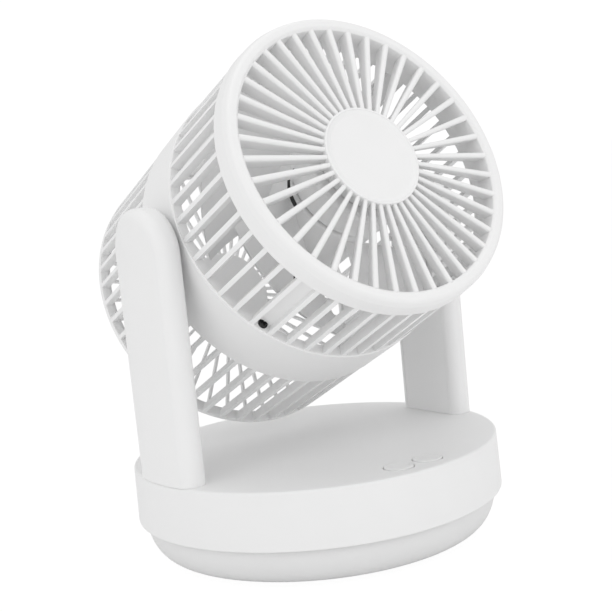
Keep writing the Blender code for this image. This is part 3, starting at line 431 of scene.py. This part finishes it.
def drum():
    """The turning drum: soft upper edge, button wells and the inlet's opening at the back."""
    corners = [(0, DECK_TOP), (BASE_RADIUS, DECK_TOP, 1.3), (BASE_RADIUS + 0.6, DRUM_BOTTOM, 0.9),
               (BASE_RADIUS - 1.6, DRUM_BOTTOM, 0.4), (BASE_RADIUS - 2.3, DECK_TOP - 2.4, 1.0),
               (0, DECK_TOP - 2.4)]
    bm = bmesh.new()
    turned(bm, corners, 256, steps=6)
    shell = piece("moulded_drum", bm, LOOK["drum_white"], "turntable", ["base_drum"])
    cutter = bmesh.new()
    for side in (-1, 1):
        well = [(0, DECK_TOP - 4), (BUTTON_RADIUS + 0.3, DECK_TOP - 4), (BUTTON_RADIUS + 0.3, DECK_TOP - 0.35, 0.15),
                (BUTTON_RADIUS + 0.75, DECK_TOP + 0.1), (0, DECK_TOP + 0.1)]
        turned(cutter, well, 96, Matrix.Translation((side * BUTTON_X, BUTTON_Y, 0)))
    swap = Matrix(((1, 0, 0, 0), (0, 0, 1, 0), (0, 1, 0, INLET_HEIGHT), (0, 0, 0, 1)))
    prism(cutter, [(-4.8, -1.9, 1.85), (4.8, -1.9, 1.85), (4.8, 1.9, 1.85), (-4.8, 1.9, 1.85)], 84, 95, swap, 8)
    cut(shell, cutter)
    even_shading(shell)

    bm = bmesh.new()
    prism(bm, [(-4.5, -1.6, 1.55), (4.5, -1.6, 1.55), (4.5, 1.6, 1.55), (-4.5, 1.6, 1.55)], 80.5, 89.2, swap, 8)
    inlet = piece("drawn_inlet_shell", bm, LOOK["screw_steel"], "turntable", ["usb_inlet"])
    cutter = bmesh.new()
    prism(cutter, [(-4.2, -1.3, 1.25), (4.2, -1.3, 1.25), (4.2, 1.3, 1.25), (-4.2, 1.3, 1.25)], 82, 91, swap, 8)
    cut(inlet, cutter)
    bm = bmesh.new()
    prism(bm, [(-3.3, -0.35, 0.2), (3.3, -0.35, 0.2), (3.3, 0.35, 0.2), (-3.3, 0.35, 0.2)], 82.3, 88.2, swap)
    tongue = piece("inlet_tongue", bm, LOOK["part_black"], "turntable", [])
    round_edges(tongue, 0.1, 2)


def buttons():
    """Two round keys with a shallow ring and dished top."""
    for name, side in (("power_button", -1), ("mode_button", 1)):
        top = DECK_TOP + 0.5
        corners = [(0, 43.2), (BUTTON_RADIUS + 1.4, 43.2), (BUTTON_RADIUS + 1.4, 44.5), (BUTTON_RADIUS, 44.5),
                   (BUTTON_RADIUS, top - 0.05, 0.45), (BUTTON_RADIUS - 1.3, top, 0.2),
                   (BUTTON_RADIUS - 1.6, top - 0.25, 0.2), (BUTTON_RADIUS - 1.9, top - 0.05, 0.2), (0, top - 0.15)]
        bm = bmesh.new()
        turned(bm, corners, 96, Matrix.Translation((side * BUTTON_X, BUTTON_Y, 0)), 4)
        key = piece(f"dished_{name}", bm, LOOK["button_white"], name, [name])
        even_shading(key)


# ---------------------------------------------------------------- arms

def arm_rows(side):
    """Columns of points from the arm's inner edge over its side and outer fillet to its middle line."""
    stations = []
    for index in range(25):
        share = index / 24
        height = ARM_BOTTOM + share * (ARM_TOP - ARM_BOTTOM)
        stations.append((height, ARM_FOOT_SHIFT + share * (ARM_TOP_SHIFT - ARM_FOOT_SHIFT), 0.0))
    straight = list(stations)
    for step in range(1, 48):
        stations.append((ARM_TOP, ARM_TOP_SHIFT, step * 180.0 / 48))
    stations += [(height, shift, 180.0) for height, shift, angle in reversed(straight)]
    columns = []
    for height, shift, angle in stations:
        turn = math.radians(angle)
        column = []

        def across_arm(reach):
            return shift - reach * math.cos(turn)

        def face(reach):
            return math.sqrt(BASE_RADIUS ** 2 - across_arm(reach) ** 2)

        def point(reach, x):
            column.append((side * x, across_arm(reach), height + reach * math.sin(turn)))

        for step in range(11):
            curl = math.radians(step * 9.0)
            point(ARM_HALF_WIDTH - ARM_INNER_FILLET * (1 - math.sin(curl)),
                  ARM_INNER + ARM_INNER_FILLET * (1 - math.cos(curl)))
        edge = face(ARM_HALF_WIDTH) - ARM_FILLET
        point(ARM_HALF_WIDTH, (ARM_INNER + ARM_INNER_FILLET + edge) / 2)
        for step in range(11):
            curl = math.radians(step * 9.0)
            reach = ARM_HALF_WIDTH - ARM_FILLET * (1 - math.cos(curl))
            point(reach, face(reach) - ARM_FILLET * (1 - math.sin(curl)))
        for share in (0.8, 0.55, 0.3, 0.0):
            reach = (ARM_HALF_WIDTH - ARM_FILLET) * share
            point(reach, face(reach))
        columns.append(column)
    return columns


def arms():
    """Two upright arms with soft round tops, each closed by a panel on the head's side."""
    for word, side in (("left", -1), ("right", 1)):
        columns = arm_rows(side)
        bm = bmesh.new()
        grid = [[bm.verts.new(point) for point in column] for column in columns]
        inset = []
        for column in columns:
            x, y, z = column[0]
            inset.append(bm.verts.new((side * (ARM_INNER + 2.6), y, z)))
        for column, after, here, there in zip(grid, grid[1:], inset, inset[1:]):
            for row in range(len(column) - 1):
                bm.faces.new((column[row], column[row + 1], after[row + 1], after[row]))
            bm.faces.new((column[0], after[0], there, here))
        bm.faces.new(inset)
        bm.faces.new([inset[0]] + grid[0] + grid[-1][-2::-1] + [inset[-1]])
        bmesh.ops.remove_doubles(bm, verts=bm.verts, dist=0.001)
        shell = piece(f"moulded_{word}_arm", bm, LOOK["arm_white"], "turntable", [f"{word}_arm_shell"])
        even_shading(shell)

        reach = ARM_HALF_WIDTH - ARM_INNER_FILLET - 0.1
        outline = [(ARM_FOOT_SHIFT - reach, ARM_BOTTOM), (ARM_FOOT_SHIFT + reach, ARM_BOTTOM)]
        for step in range(49):
            point = polar(reach, step * 180.0 / 48)
            outline.append((ARM_TOP_SHIFT + point.x, ARM_TOP + point.y))
        upright = Matrix(((0, 0, side, 0), (1, 0, 0, 0), (0, 1, 0, 0), (0, 0, 0, 1)))
        bm = bmesh.new()
        prism(bm, outline, ARM_INNER, ARM_INNER + 2.4, upright)
        panel = piece(f"fitted_{word}_arm_panel", bm, LOOK["arm_white"], "turntable",
                      [f"{word}_arm_cover"])
        bm = bmesh.new()
        rod(bm, 8.3, (side * (ARM_INNER - 1), 0, PIVOT_HEIGHT), (side * (ARM_INNER + 3), 0, PIVOT_HEIGHT), 64)
        cut(panel, bm)
        round_edges(panel, 0.12, 2)

        bm = bmesh.new()
        place = Matrix.Translation((0, 0, PIVOT_HEIGHT)) @ across(side)
        turned(bm, [(5.1, 76.1, 0.3), (8.0, 76.1, 0.4), (8.0, 78.3, 0.2), (10.2, 78.3, 0.2), (10.2, 79.6, 0.2),
                    (5.1, 79.6, 0.2)], 64, place)
        bush = piece(f"turned_{word}_bush", bm, LOOK["nylon"], "turntable", [f"{word}_pivot_bush"])
        even_shading(bush)
        bm = bmesh.new()
        turned(bm, [(2.4, 68.5, 0.2), (7.2, 68.5, 0.3), (7.2, 69.9, 0.3), (5.0, 69.9), (5.0, 84.0, 0.4),
                    (2.4, 84.0, 0.3)], 64, place)
        pin = piece(f"hollow_{word}_trunnion", bm, LOOK["nylon"], "head", [f"{word}_trunnion"])
        even_shading(pin)


# ---------------------------------------------------------------- head

def fin_section(radius):
    """One cross-section of a guard fin at a radius: wide round front, thin rear edge, pitched."""
    share = (radius - DISC_RADIUS) / (FIN_OUTER - DISC_RADIUS)
    half = 1.05 + 0.45 * share
    rear_half = 0.6 + 0.15 * share
    depth = 4.2 + 3.8 * share
    lean = math.tan(math.radians(FIN_LEAN))
    path = []
    for step in range(11):
        turn = math.radians(180.0 - step * 18.0)
        path.append((half * math.cos(turn), FIN_FRONT - half + half * math.sin(turn)))
    for step in range(5):
        turn = math.radians(-step * 45.0)
        path.append((rear_half * math.cos(turn), FIN_FRONT - depth + rear_half + rear_half * math.sin(turn)))
    return [(radius, x + (FIN_FRONT - height) * lean, height) for x, height in path]


def front_grille():
    """Bezel with its skirt, the guard fins and the raised ring round the cap."""
    bm = bmesh.new()
    corners = [(72.75, 65.6, 0.35), (72.3, 72.6, 2.2), (71.0, 76.3, 2.4), (67.1, 76.3, 1.4), (65.7, 74.9, 0.8),
               (65.5, 66.5, 1.0), (65.1, 60.6, 0.4), (66.3, 60.6, 0.4), (66.3, 65.6, 0.8), (67.4, 65.6, 0.3),
               (67.4, 70.6, 0.5), (71.6, 70.6, 0.5), (71.6, 65.6, 0.3)]
    turned(bm, corners, 240)
    turned(bm, [(0, 73.6), (20.0, 73.6), (20.0, 66.5, 0.4), (22.0, 66.5, 0.4), (22.0, 72.0), (24.3, 72.8, 0.4),
                (24.3, 76.25, 0.5), (23.3, 76.25, 0.4), (23.1, 75.9), (23.1, 74.4), (0, 74.4)], 160)
    for index in range(FIN_COUNT):
        turn = Matrix.Rotation(math.radians(FIN_PHASE + index * 360.0 / FIN_COUNT), 4, "Z")
        sections = []
        for step in range(17):
            section = fin_section(DISC_RADIUS + (FIN_OUTER - DISC_RADIUS) * step / 16)
            sections.append([turn @ Vector(point) for point in section])
        loft(bm, sections)
    grille = piece("finned_front_grille", bm, LOOK["head_white"], "head", ["front_grille"], HEAD)
    even_shading(grille)

    bm = bmesh.new()
    turned(bm, [(0, 74.7), (23.12, 74.7), (23.12, 75.98), (21.2, 75.35, 1.5), (0, 75.35)], 160)
    cap = piece("dished_grille_cap", bm, LOOK["head_white"], "head", ["grille_cap"], HEAD)
    even_shading(cap)


def slotted_tube(bm, levels, slot_level):
    """A tube of (height, inner radius, outer radius) levels, open between its ribs at one of them."""
    half = math.degrees(RIB_WIDTH / 2 / BARREL_RADIUS)
    angles = []
    for rib in range(RIB_COUNT):
        centre = (rib + 0.5) * RIB_PITCH
        angles.append((centre - half, False))
        for column in range(SLOT_COLUMNS):
            angles.append((centre + half + (RIB_PITCH - 2 * half) * column / SLOT_COLUMNS, True))
    inner = [[bm.verts.new(polar(low, angle, height)) for height, low, high in levels] for angle, opened in angles]
    outer = [[bm.verts.new(polar(high, angle, height)) for height, low, high in levels] for angle, opened in angles]
    last = len(levels) - 1
    for column, (angle, opened) in enumerate(angles):
        after = (column + 1) % len(angles)
        for level in range(last):
            if opened and level == slot_level:
                continue
            for wall in (inner, outer):
                bm.faces.new((wall[column][level], wall[after][level],
                              wall[after][level + 1], wall[column][level + 1]))
        ends = [0, last]
        if opened:
            ends += [slot_level, slot_level + 1]
        for level in ends:
            bm.faces.new((inner[column][level], inner[after][level], outer[after][level], outer[column][level]))
        if opened != angles[column - 1][1]:
            bm.faces.new((inner[column][slot_level], inner[column][slot_level + 1],
                          outer[column][slot_level + 1], outer[column][slot_level]))


def barrels():
    """The slotted walls in front of and behind the smooth band, with screw troughs at the front."""
    bm = bmesh.new()
    slotted_tube(bm, [(14.6, BARREL_INNER, BARREL_RADIUS), (20.9, BARREL_INNER, BARREL_RADIUS),
                      (64.8, BARREL_INNER - 0.6, BARREL_MOUTH_RADIUS), (66.1, BARREL_INNER - 0.6, 71.4),
                      (70.1, BARREL_INNER - 0.6, 71.4)], 1)
    gutter_half = math.radians(RIB_PITCH / 2) * 72.5
    rim = gutter_half - 0.4
    wall = gutter_half - RIB_WIDTH / 2 + 0.3
    section = [(-rim, 66.8, 0.8), (rim, 66.8, 0.8), (rim, 71.4, 0.3), (wall, 71.4, 0.3), (wall, 69.2, 0.9),
               (-wall, 69.2, 0.9), (-wall, 71.4, 0.3), (-rim, 71.4, 0.3)]
    swap = Matrix(((1, 0, 0, 0), (0, 0, 1, 0), (0, 1, 0, 0), (0, 0, 0, 1)))
    for angle in SCREW_ANGLES:
        prism(bm, section, 18.2, 65.6, radial_frame(angle) @ swap)
        block(bm, (-rim + 0.2, 14.9, 66.5), (rim - 0.2, 20.3, 71.3), radial_frame(angle))
    front = piece("ribbed_front_barrel", bm, LOOK["head_white"], "head", ["front_barrel"], HEAD)
    round_edges(front, 0.45)

    bm = bmesh.new()
    slip = BARREL_RADIUS - 0.02
    turned(bm, [(BAND_RADIUS, -11.6, 0.35), (BAND_RADIUS, 20.2, 0.4), (slip, 20.2), (slip, 14.5),
                (65.6, 14.5, 1.6), (63.9, 9.0, 6.0), (66.0, -3.0, 8.0), (70.4, -8.0, 0.4), (slip, -8.0),
                (slip, -11.6)], 256)
    band = piece("smooth_mid_band", bm, LOOK["head_white"], "head", ["mid_band"], HEAD)
    cutter = bmesh.new()
    for side in (-1, 1):
        rod(cutter, 5.3, (side * 65, 0, 0), (side * 80, 0, 0), 48)
    cut(band, cutter, HEAD)
    even_shading(band)

    bm = bmesh.new()
    slotted_tube(bm, [(-71.6, 70.5, REAR_RADIUS - 0.3), (-68.6, BARREL_INNER, REAR_RADIUS),
                      (-12.0, BARREL_INNER, REAR_RADIUS), (-8.3, BARREL_INNER, REAR_RADIUS - 0.3)], 1)
    rear = piece("ribbed_rear_barrel", bm, LOOK["head_white"], "head", ["rear_barrel"], HEAD)
    round_edges(rear, 0.45)


def rear_grille():
    """Radial bars between a stepped hub plate and a rim, closing the air inlet."""
    rear = -71.6
    front = -69.2
    bm = bmesh.new()
    turned(bm, [(67.8, rear, 0.4), (70.3, rear, 0.3), (69.7, front, 0.3), (67.8, front, 0.4)], 240)
    turned(bm, [(0, rear + 0.5), (17.6, rear + 0.5, 0.3), (18.2, rear, 0.3), (22.0, rear, 0.6), (22.0, front, 0.5),
                (0, front)], 120)
    for index in range(FIN_COUNT):
        turn = Matrix.Rotation(math.radians(FIN_PHASE + index * 360.0 / FIN_COUNT), 4, "Z")
        sections = []
        for step in range(9):
            radius = 21.0 + (68.2 - 21.0) * step / 8
            corners = soften([(-0.8, rear + 0.1, 0.45), (0.8, rear + 0.1, 0.45), (0.7, front - 0.1, 0.45),
                              (-0.7, front - 0.1, 0.45)], 4)
            sections.append([turn @ Vector((radius, x, height)) for x, height in corners])
        loft(bm, sections)
    grille = piece("barred_rear_grille", bm, LOOK["head_white"], "head", ["rear_grille"], HEAD)
    even_shading(grille)


def recess_slot(turn):
    """The cutter of one slot of a cross-head recess, narrowing downwards."""
    bm = bmesh.new()
    spin = Matrix.Rotation(math.radians(turn), 4, "Z")
    sections = []
    for height, reach, half in ((1.9, 1.5, 0.36), (0.35, 0.9, 0.24)):
        sections.append([spin @ Vector(point) for point in
                         ((-reach, -half, height), (reach, -half, height),
                          (reach, half, height), (-reach, half, height))])
    loft(bm, sections)
    return bm


def barrel_screws():
    """Dark cross-head pan screws at the foot of each trough."""
    for index, angle in enumerate(SCREW_ANGLES):
        place = HEAD @ Matrix.Translation(polar(BARREL_SCREW_CIRCLE, angle, SCREW_SEAT))
        place = place @ Matrix.Rotation(math.radians(angle + 20), 4, "Z")
        bm = bmesh.new()
        turned(bm, [(0, 1.5), (0.8, 1.48), (1.5, 1.3), (2.05, 0.9), (2.3, 0.4), (2.3, 0.0), (1.5, 0.0),
                    (1.5, -4.0), (0, -4.0)], 64)
        screw = piece(f"cross_head_screw_{index + 1}", bm, LOOK["screw_black"], "head",
                      [f"barrel_screw_{index + 1}"], place)
        for turn in (0, 90):
            cut(screw, recess_slot(turn), place)
        even_shading(screw)


def motor():
    """The pod behind the grille's cap and the dark motor can in it."""
    bm = bmesh.new()
    turned(bm, [(0, 66.2), (POD_RADIUS, 66.2, 2.6), (POD_RADIUS, 50.5, 0.5), (25.9, 50.5, 0.4), (25.9, 64.2, 0.6),
                (0, 64.2)], 128)
    pod = piece("round_motor_pod", bm, LOOK["head_white"], "head", ["motor_pod"], HEAD)
    even_shading(pod)
    bm = bmesh.new()
    turned(bm, [(0, 49.3), (25.6, 49.3, 0.8), (25.6, 63.9, 0.5), (0, 63.9)], 128)
    for index in range(12):
        rod(bm, 1.1, polar(14.5, index * 30, 49.1), polar(14.5, index * 30, 49.6), 16)
    can = piece("drawn_motor_can", bm, LOOK["motor_black"], "head", ["fan_motor"], HEAD)
    even_shading(can)


def lead(name, waypoints, body, node, matrix, tip=1.0):
    """A round lead along a smooth curve through its waypoints, drawn thin at its first end."""
    points = [Vector(point) for point in waypoints]
    ends = [2 * points[0] - points[1]] + points + [2 * points[-1] - points[-2]]
    route = []
    for before, here, there, beyond in zip(ends, ends[1:], ends[2:], ends[3:]):
        for step in range(6):
            t = step / 6
            route.append(0.5 * (2 * here + (there - before) * t
                                + (2 * before - 5 * here + 4 * there - beyond) * t ** 2
                                + (3 * here - before - 3 * there + beyond) * t ** 3))
    route.append(points[-1])
    curve = bpy.data.curves.new(name, "CURVE")
    curve.dimensions = "3D"
    curve.bevel_depth = LEAD_RADIUS * MM
    curve.bevel_resolution = 6
    curve.use_fill_caps = True
    spline = curve.splines.new("POLY")
    spline.points.add(len(route) - 1)
    for index, (point, place) in enumerate(zip(spline.points, route)):
        point.co = (*((matrix @ place) * MM), 1.0)
        point.radius = min(1.0, tip + (1.0 - tip) * index / 24)
    spline.use_smooth = True
    curve.materials.append(LOOK["lead_black"])
    made = bpy.data.objects.new(name, curve)
    bpy.context.scene.collection.objects.link(made)
    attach(made, body)
    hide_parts(node)


def leads():
    """The motor's lead out through the left trunnion, and the arm's lead down to the base."""
    route = [polar(26.6, 160, 53.5), polar(28.6, 165, 52.6), polar(29.8, 171, 51.2), polar(30.1, 179, 49.6),
             polar(30.2, 187, 48.9), polar(30.3, 194, 48.6), polar(31.6, 198.3, 49.4), polar(39.0, 199.2, 52.0),
             polar(46.0, 199.9, 55.0), polar(53.5, 200.6, 59.0), polar(60.0, 201.4, 63.0), polar(63.9, 203.5, 65.2),
             polar(64.2, 208, 65.4), polar(64.2, 214, 65.0), polar(64.2, 218.5, 62.0), polar(64.8, 220.8, 56.5),
             polar(65.0, 223.6, 50.5), polar(LEAD_CIRCLE, 225, 44), polar(LEAD_CIRCLE, 225, 34),
             polar(LEAD_CIRCLE, 225, 24), polar(LEAD_CIRCLE, 223.4, 17.5), polar(LEAD_CIRCLE, 221, 13),
             polar(65.4, 212, 9), polar(65.6, 200, 4), polar(66.0, 189, 1), polar(67.0, 182, 0), (-71.5, 0, 0),
             (-84.0, 0, 0)]
    lead("flexible_motor_lead", route, "head", "motor_lead", HEAD, 0.35)
    route = [(-85.2, 0, 152.4), (-86.0, 0, 150.0), (-84.0, 0, 140.4), (-82.0, 0, 120), (-82.0, 0, 85),
             (-82.0, 0, 60), (-82.0, 0, 41.8)]
    lead("flexible_arm_lead", route, "turntable", "arm_lead", UPRIGHT)


def blade(bm, start):
    """A twisted, cambered blade with a rounded leading edge, its outline widening to the tip."""
    sections = []
    rows = 17
    steps = 14
    for row in range(rows):
        share = row / (rows - 1)
        radius = HUB_RADIUS - 0.8 + share * (BLADE_TIP - HUB_RADIUS + 0.8)
        depth = 28.0
        width = 32.0 + 50.0 * share
        half_wall = 1.1 - 0.35 * share
        upper = []
        lower = []
        for step in range(steps + 1):
            along = -0.5 * math.cos(math.pi * step / steps)
            camber = 3.0 * (1 - 4 * along ** 2)
            thin = half_wall * math.sqrt(max(1 - 3.9 * along ** 2, 0.02))
            angle = start + 12 * share + math.degrees(width * along / radius)
            middle = 31.0 - depth * along + camber
            upper.append(polar(radius, angle, middle + thin))
            lower.append(polar(radius, angle, middle - thin))
        sections.append(upper + lower[::-1])
    loft(bm, sections)


def impeller():
    """Domed hub with a boss, five swept blades, the shaft and its nut."""
    bm = bmesh.new()
    turned(bm, [(HUB_RADIUS, 14.0, 0.5), (HUB_RADIUS, 48.5, 2.4), (1.9, 48.5, 0.3), (1.9, 20.0, 0.3), (5.0, 20.0, 0.4),
                (5.0, 46.1, 1.0), (25.0, 46.1, 1.2), (25.0, 14.0, 0.5)], 160)
    for index in range(BLADE_COUNT):
        blade(bm, index * 360.0 / BLADE_COUNT)
    for index in range(BLADE_COUNT * 2):
        block(bm, (-0.6, 20.5, 4.8), (0.6, 46.3, 25.2), radial_frame(index * 36.0))
    fan = piece("five_blade_impeller", bm, LOOK["fan_white"], "impeller", ["impeller"], HEAD)
    even_shading(fan)
    bm = bmesh.new()
    turned(bm, [(0, 16.0), (1.6, 16.0, 0.3), (1.6, 49.0, 0.2), (0, 49.0)], 48)
    shaft = piece("ground_motor_shaft", bm, LOOK["screw_steel"], "impeller", ["motor_shaft"], HEAD)
    even_shading(shaft)
    bm = bmesh.new()
    hexagon = [(4.2 * math.cos(math.radians(60 * index)), 4.2 * math.sin(math.radians(60 * index)), 0.3)
               for index in range(6)]
    prism(bm, hexagon, 16.6, 19.7)
    nut = piece("hex_hub_nut", bm, LOOK["screw_steel"], "impeller", ["hub_nut"], HEAD)
    bm = bmesh.new()
    rod(bm, 1.9, (0, 0, 15), (0, 0, 21), 32)
    cut(nut, bm, HEAD)
    round_edges(nut, 0.25, 2)


def inner_parts():
    """Finishes for the parts inside the base and the arms, which keep their own shapes."""
    finish = {
        "nylon": ["swivel_spindle", "thrust_ring", "swivel_gear", "drive_pinion"],
        "plinth_grey": ["plinth_cover", "drum_floor"],
        "screw_steel": ["left_friction_nut", "right_friction_nut", "spindle_screw"],
        "part_black": ["power_switch", "mode_switch"],
        "board_green": ["control_board"],
        "battery_blue": ["battery_pack"],
        "motor_grey": ["swivel_motor"],
    }
    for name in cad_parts:
        if name.startswith(("plinth_screw", "floor_screw", "left_arm_screw", "right_arm_screw")):
            finish["screw_steel"].append(name)
    for look, names in finish.items():
        for name in names:
            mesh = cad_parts[name].data
            mesh.materials.clear()
            mesh.materials.append(LOOK[look])


# ---------------------------------------------------------------- studio

FLOOR_GLOW = 0.93
ROOM_LIGHT = 0.74


def camera():
    """A long lens a little above the deck, to the fan's left, leaning slightly."""
    azimuth, elevation, roll = (math.radians(value) for value in (-34.984, 7.461, -6.072))
    back = Vector((math.sin(azimuth) * math.cos(elevation), -math.cos(azimuth) * math.cos(elevation),
                   math.sin(elevation)))
    right = (-back).cross(Vector((0, 0, 1))).normalized()
    up = right.cross(-back)
    leaning_right = right * math.cos(roll) + up * math.sin(roll)
    leaning_up = up * math.cos(roll) - right * math.sin(roll)
    target = Vector((0.0, 0.0, 0.1103))
    data = bpy.data.cameras.new("studio_camera")
    data.sensor_width = 36.0
    data.lens = 74.82
    data.shift_x = 0.0079
    data.shift_y = 0.0180
    holder = bpy.data.objects.new("studio_camera", data)
    bpy.context.scene.collection.objects.link(holder)
    turn = Matrix((leaning_right, leaning_up, back)).transposed().to_4x4()
    holder.matrix_world = Matrix.Translation(target + back * 0.627244) @ turn
    bpy.context.scene.camera = holder


def softbox(name, place, target, width, height, power):
    data = bpy.data.lights.new(name, "AREA")
    data.shape = "RECTANGLE"
    data.size = width
    data.size_y = height
    data.energy = power
    light = bpy.data.objects.new(name, data)
    bpy.context.scene.collection.objects.link(light)
    light.location = place
    light.rotation_euler = (Vector(place) - Vector(target)).to_track_quat("Z", "Y").to_euler()


def studio():
    """White sweep, bright room and soft boxes."""
    bm = bmesh.new()
    for x, y in ((-9, -9), (9, -9), (9, 9), (-9, 9)):
        bm.verts.new((x, y, -0.0002))
    bm.faces.new(bm.verts)
    mesh = bpy.data.meshes.new("pale_floor")
    bm.to_mesh(mesh)
    bm.free()
    material = bpy.data.materials.new("pale_floor")
    material.use_nodes = True
    tree = material.node_tree
    shader = tree.nodes["Principled BSDF"]
    shader.inputs["Base Color"].default_value = (0.95, 0.95, 0.95, 1.0)
    shader.inputs["Roughness"].default_value = 0.9
    shader.inputs["Specular IOR Level"].default_value = 0.1
    glow = tree.nodes.new("ShaderNodeEmission")
    glow.inputs["Strength"].default_value = 1.04
    blend = tree.nodes.new("ShaderNodeMixShader")
    seen = tree.nodes.new("ShaderNodeLightPath")
    share = tree.nodes.new("ShaderNodeMath")
    share.operation = "MULTIPLY"
    share.inputs[1].default_value = FLOOR_GLOW
    tree.links.new(seen.outputs["Is Camera Ray"], share.inputs[0])
    tree.links.new(share.outputs["Value"], blend.inputs["Fac"])
    tree.links.new(shader.outputs["BSDF"], blend.inputs[1])
    tree.links.new(glow.outputs["Emission"], blend.inputs[2])
    tree.links.new(blend.outputs["Shader"], tree.nodes["Material Output"].inputs["Surface"])
    mesh.materials.append(material)
    floor = bpy.data.objects.new("pale_floor", mesh)
    bpy.context.scene.collection.objects.link(floor)

    world = bpy.data.worlds.new("bright_room")
    world.use_nodes = True
    tree = world.node_tree
    room = tree.nodes["Background"]
    room.inputs["Color"].default_value = (1.0, 1.0, 1.0, 1.0)
    room.inputs["Strength"].default_value = ROOM_LIGHT
    backdrop = tree.nodes.new("ShaderNodeBackground")
    backdrop.inputs["Color"].default_value = (1.0, 1.0, 1.0, 1.0)
    backdrop.inputs["Strength"].default_value = 1.05
    blend = tree.nodes.new("ShaderNodeMixShader")
    seen = tree.nodes.new("ShaderNodeLightPath")
    tree.links.new(seen.outputs["Is Camera Ray"], blend.inputs["Fac"])
    tree.links.new(room.outputs["Background"], blend.inputs[1])
    tree.links.new(backdrop.outputs["Background"], blend.inputs[2])
    tree.links.new(blend.outputs["Shader"], tree.nodes["World Output"].inputs["Surface"])
    bpy.context.scene.world = world
    softbox("front_box", (0.55, -1.25, 0.55), (0, 0, 0.12), 1.2, 0.9, 2.6)
    softbox("left_box", (-1.3, -0.5, 0.8), (0, 0, 0.12), 1.0, 1.0, 3.2)
    softbox("top_box", (0.1, 0.1, 1.5), (0, 0, 0.1), 1.3, 1.3, 3.4)
    bpy.context.scene.view_settings.view_transform = "Standard"


plinth()
drum()
buttons()
arms()
front_grille()
barrels()
rear_grille()
barrel_screws()
motor()
leads()
impeller()
inner_parts()
camera()
studio()
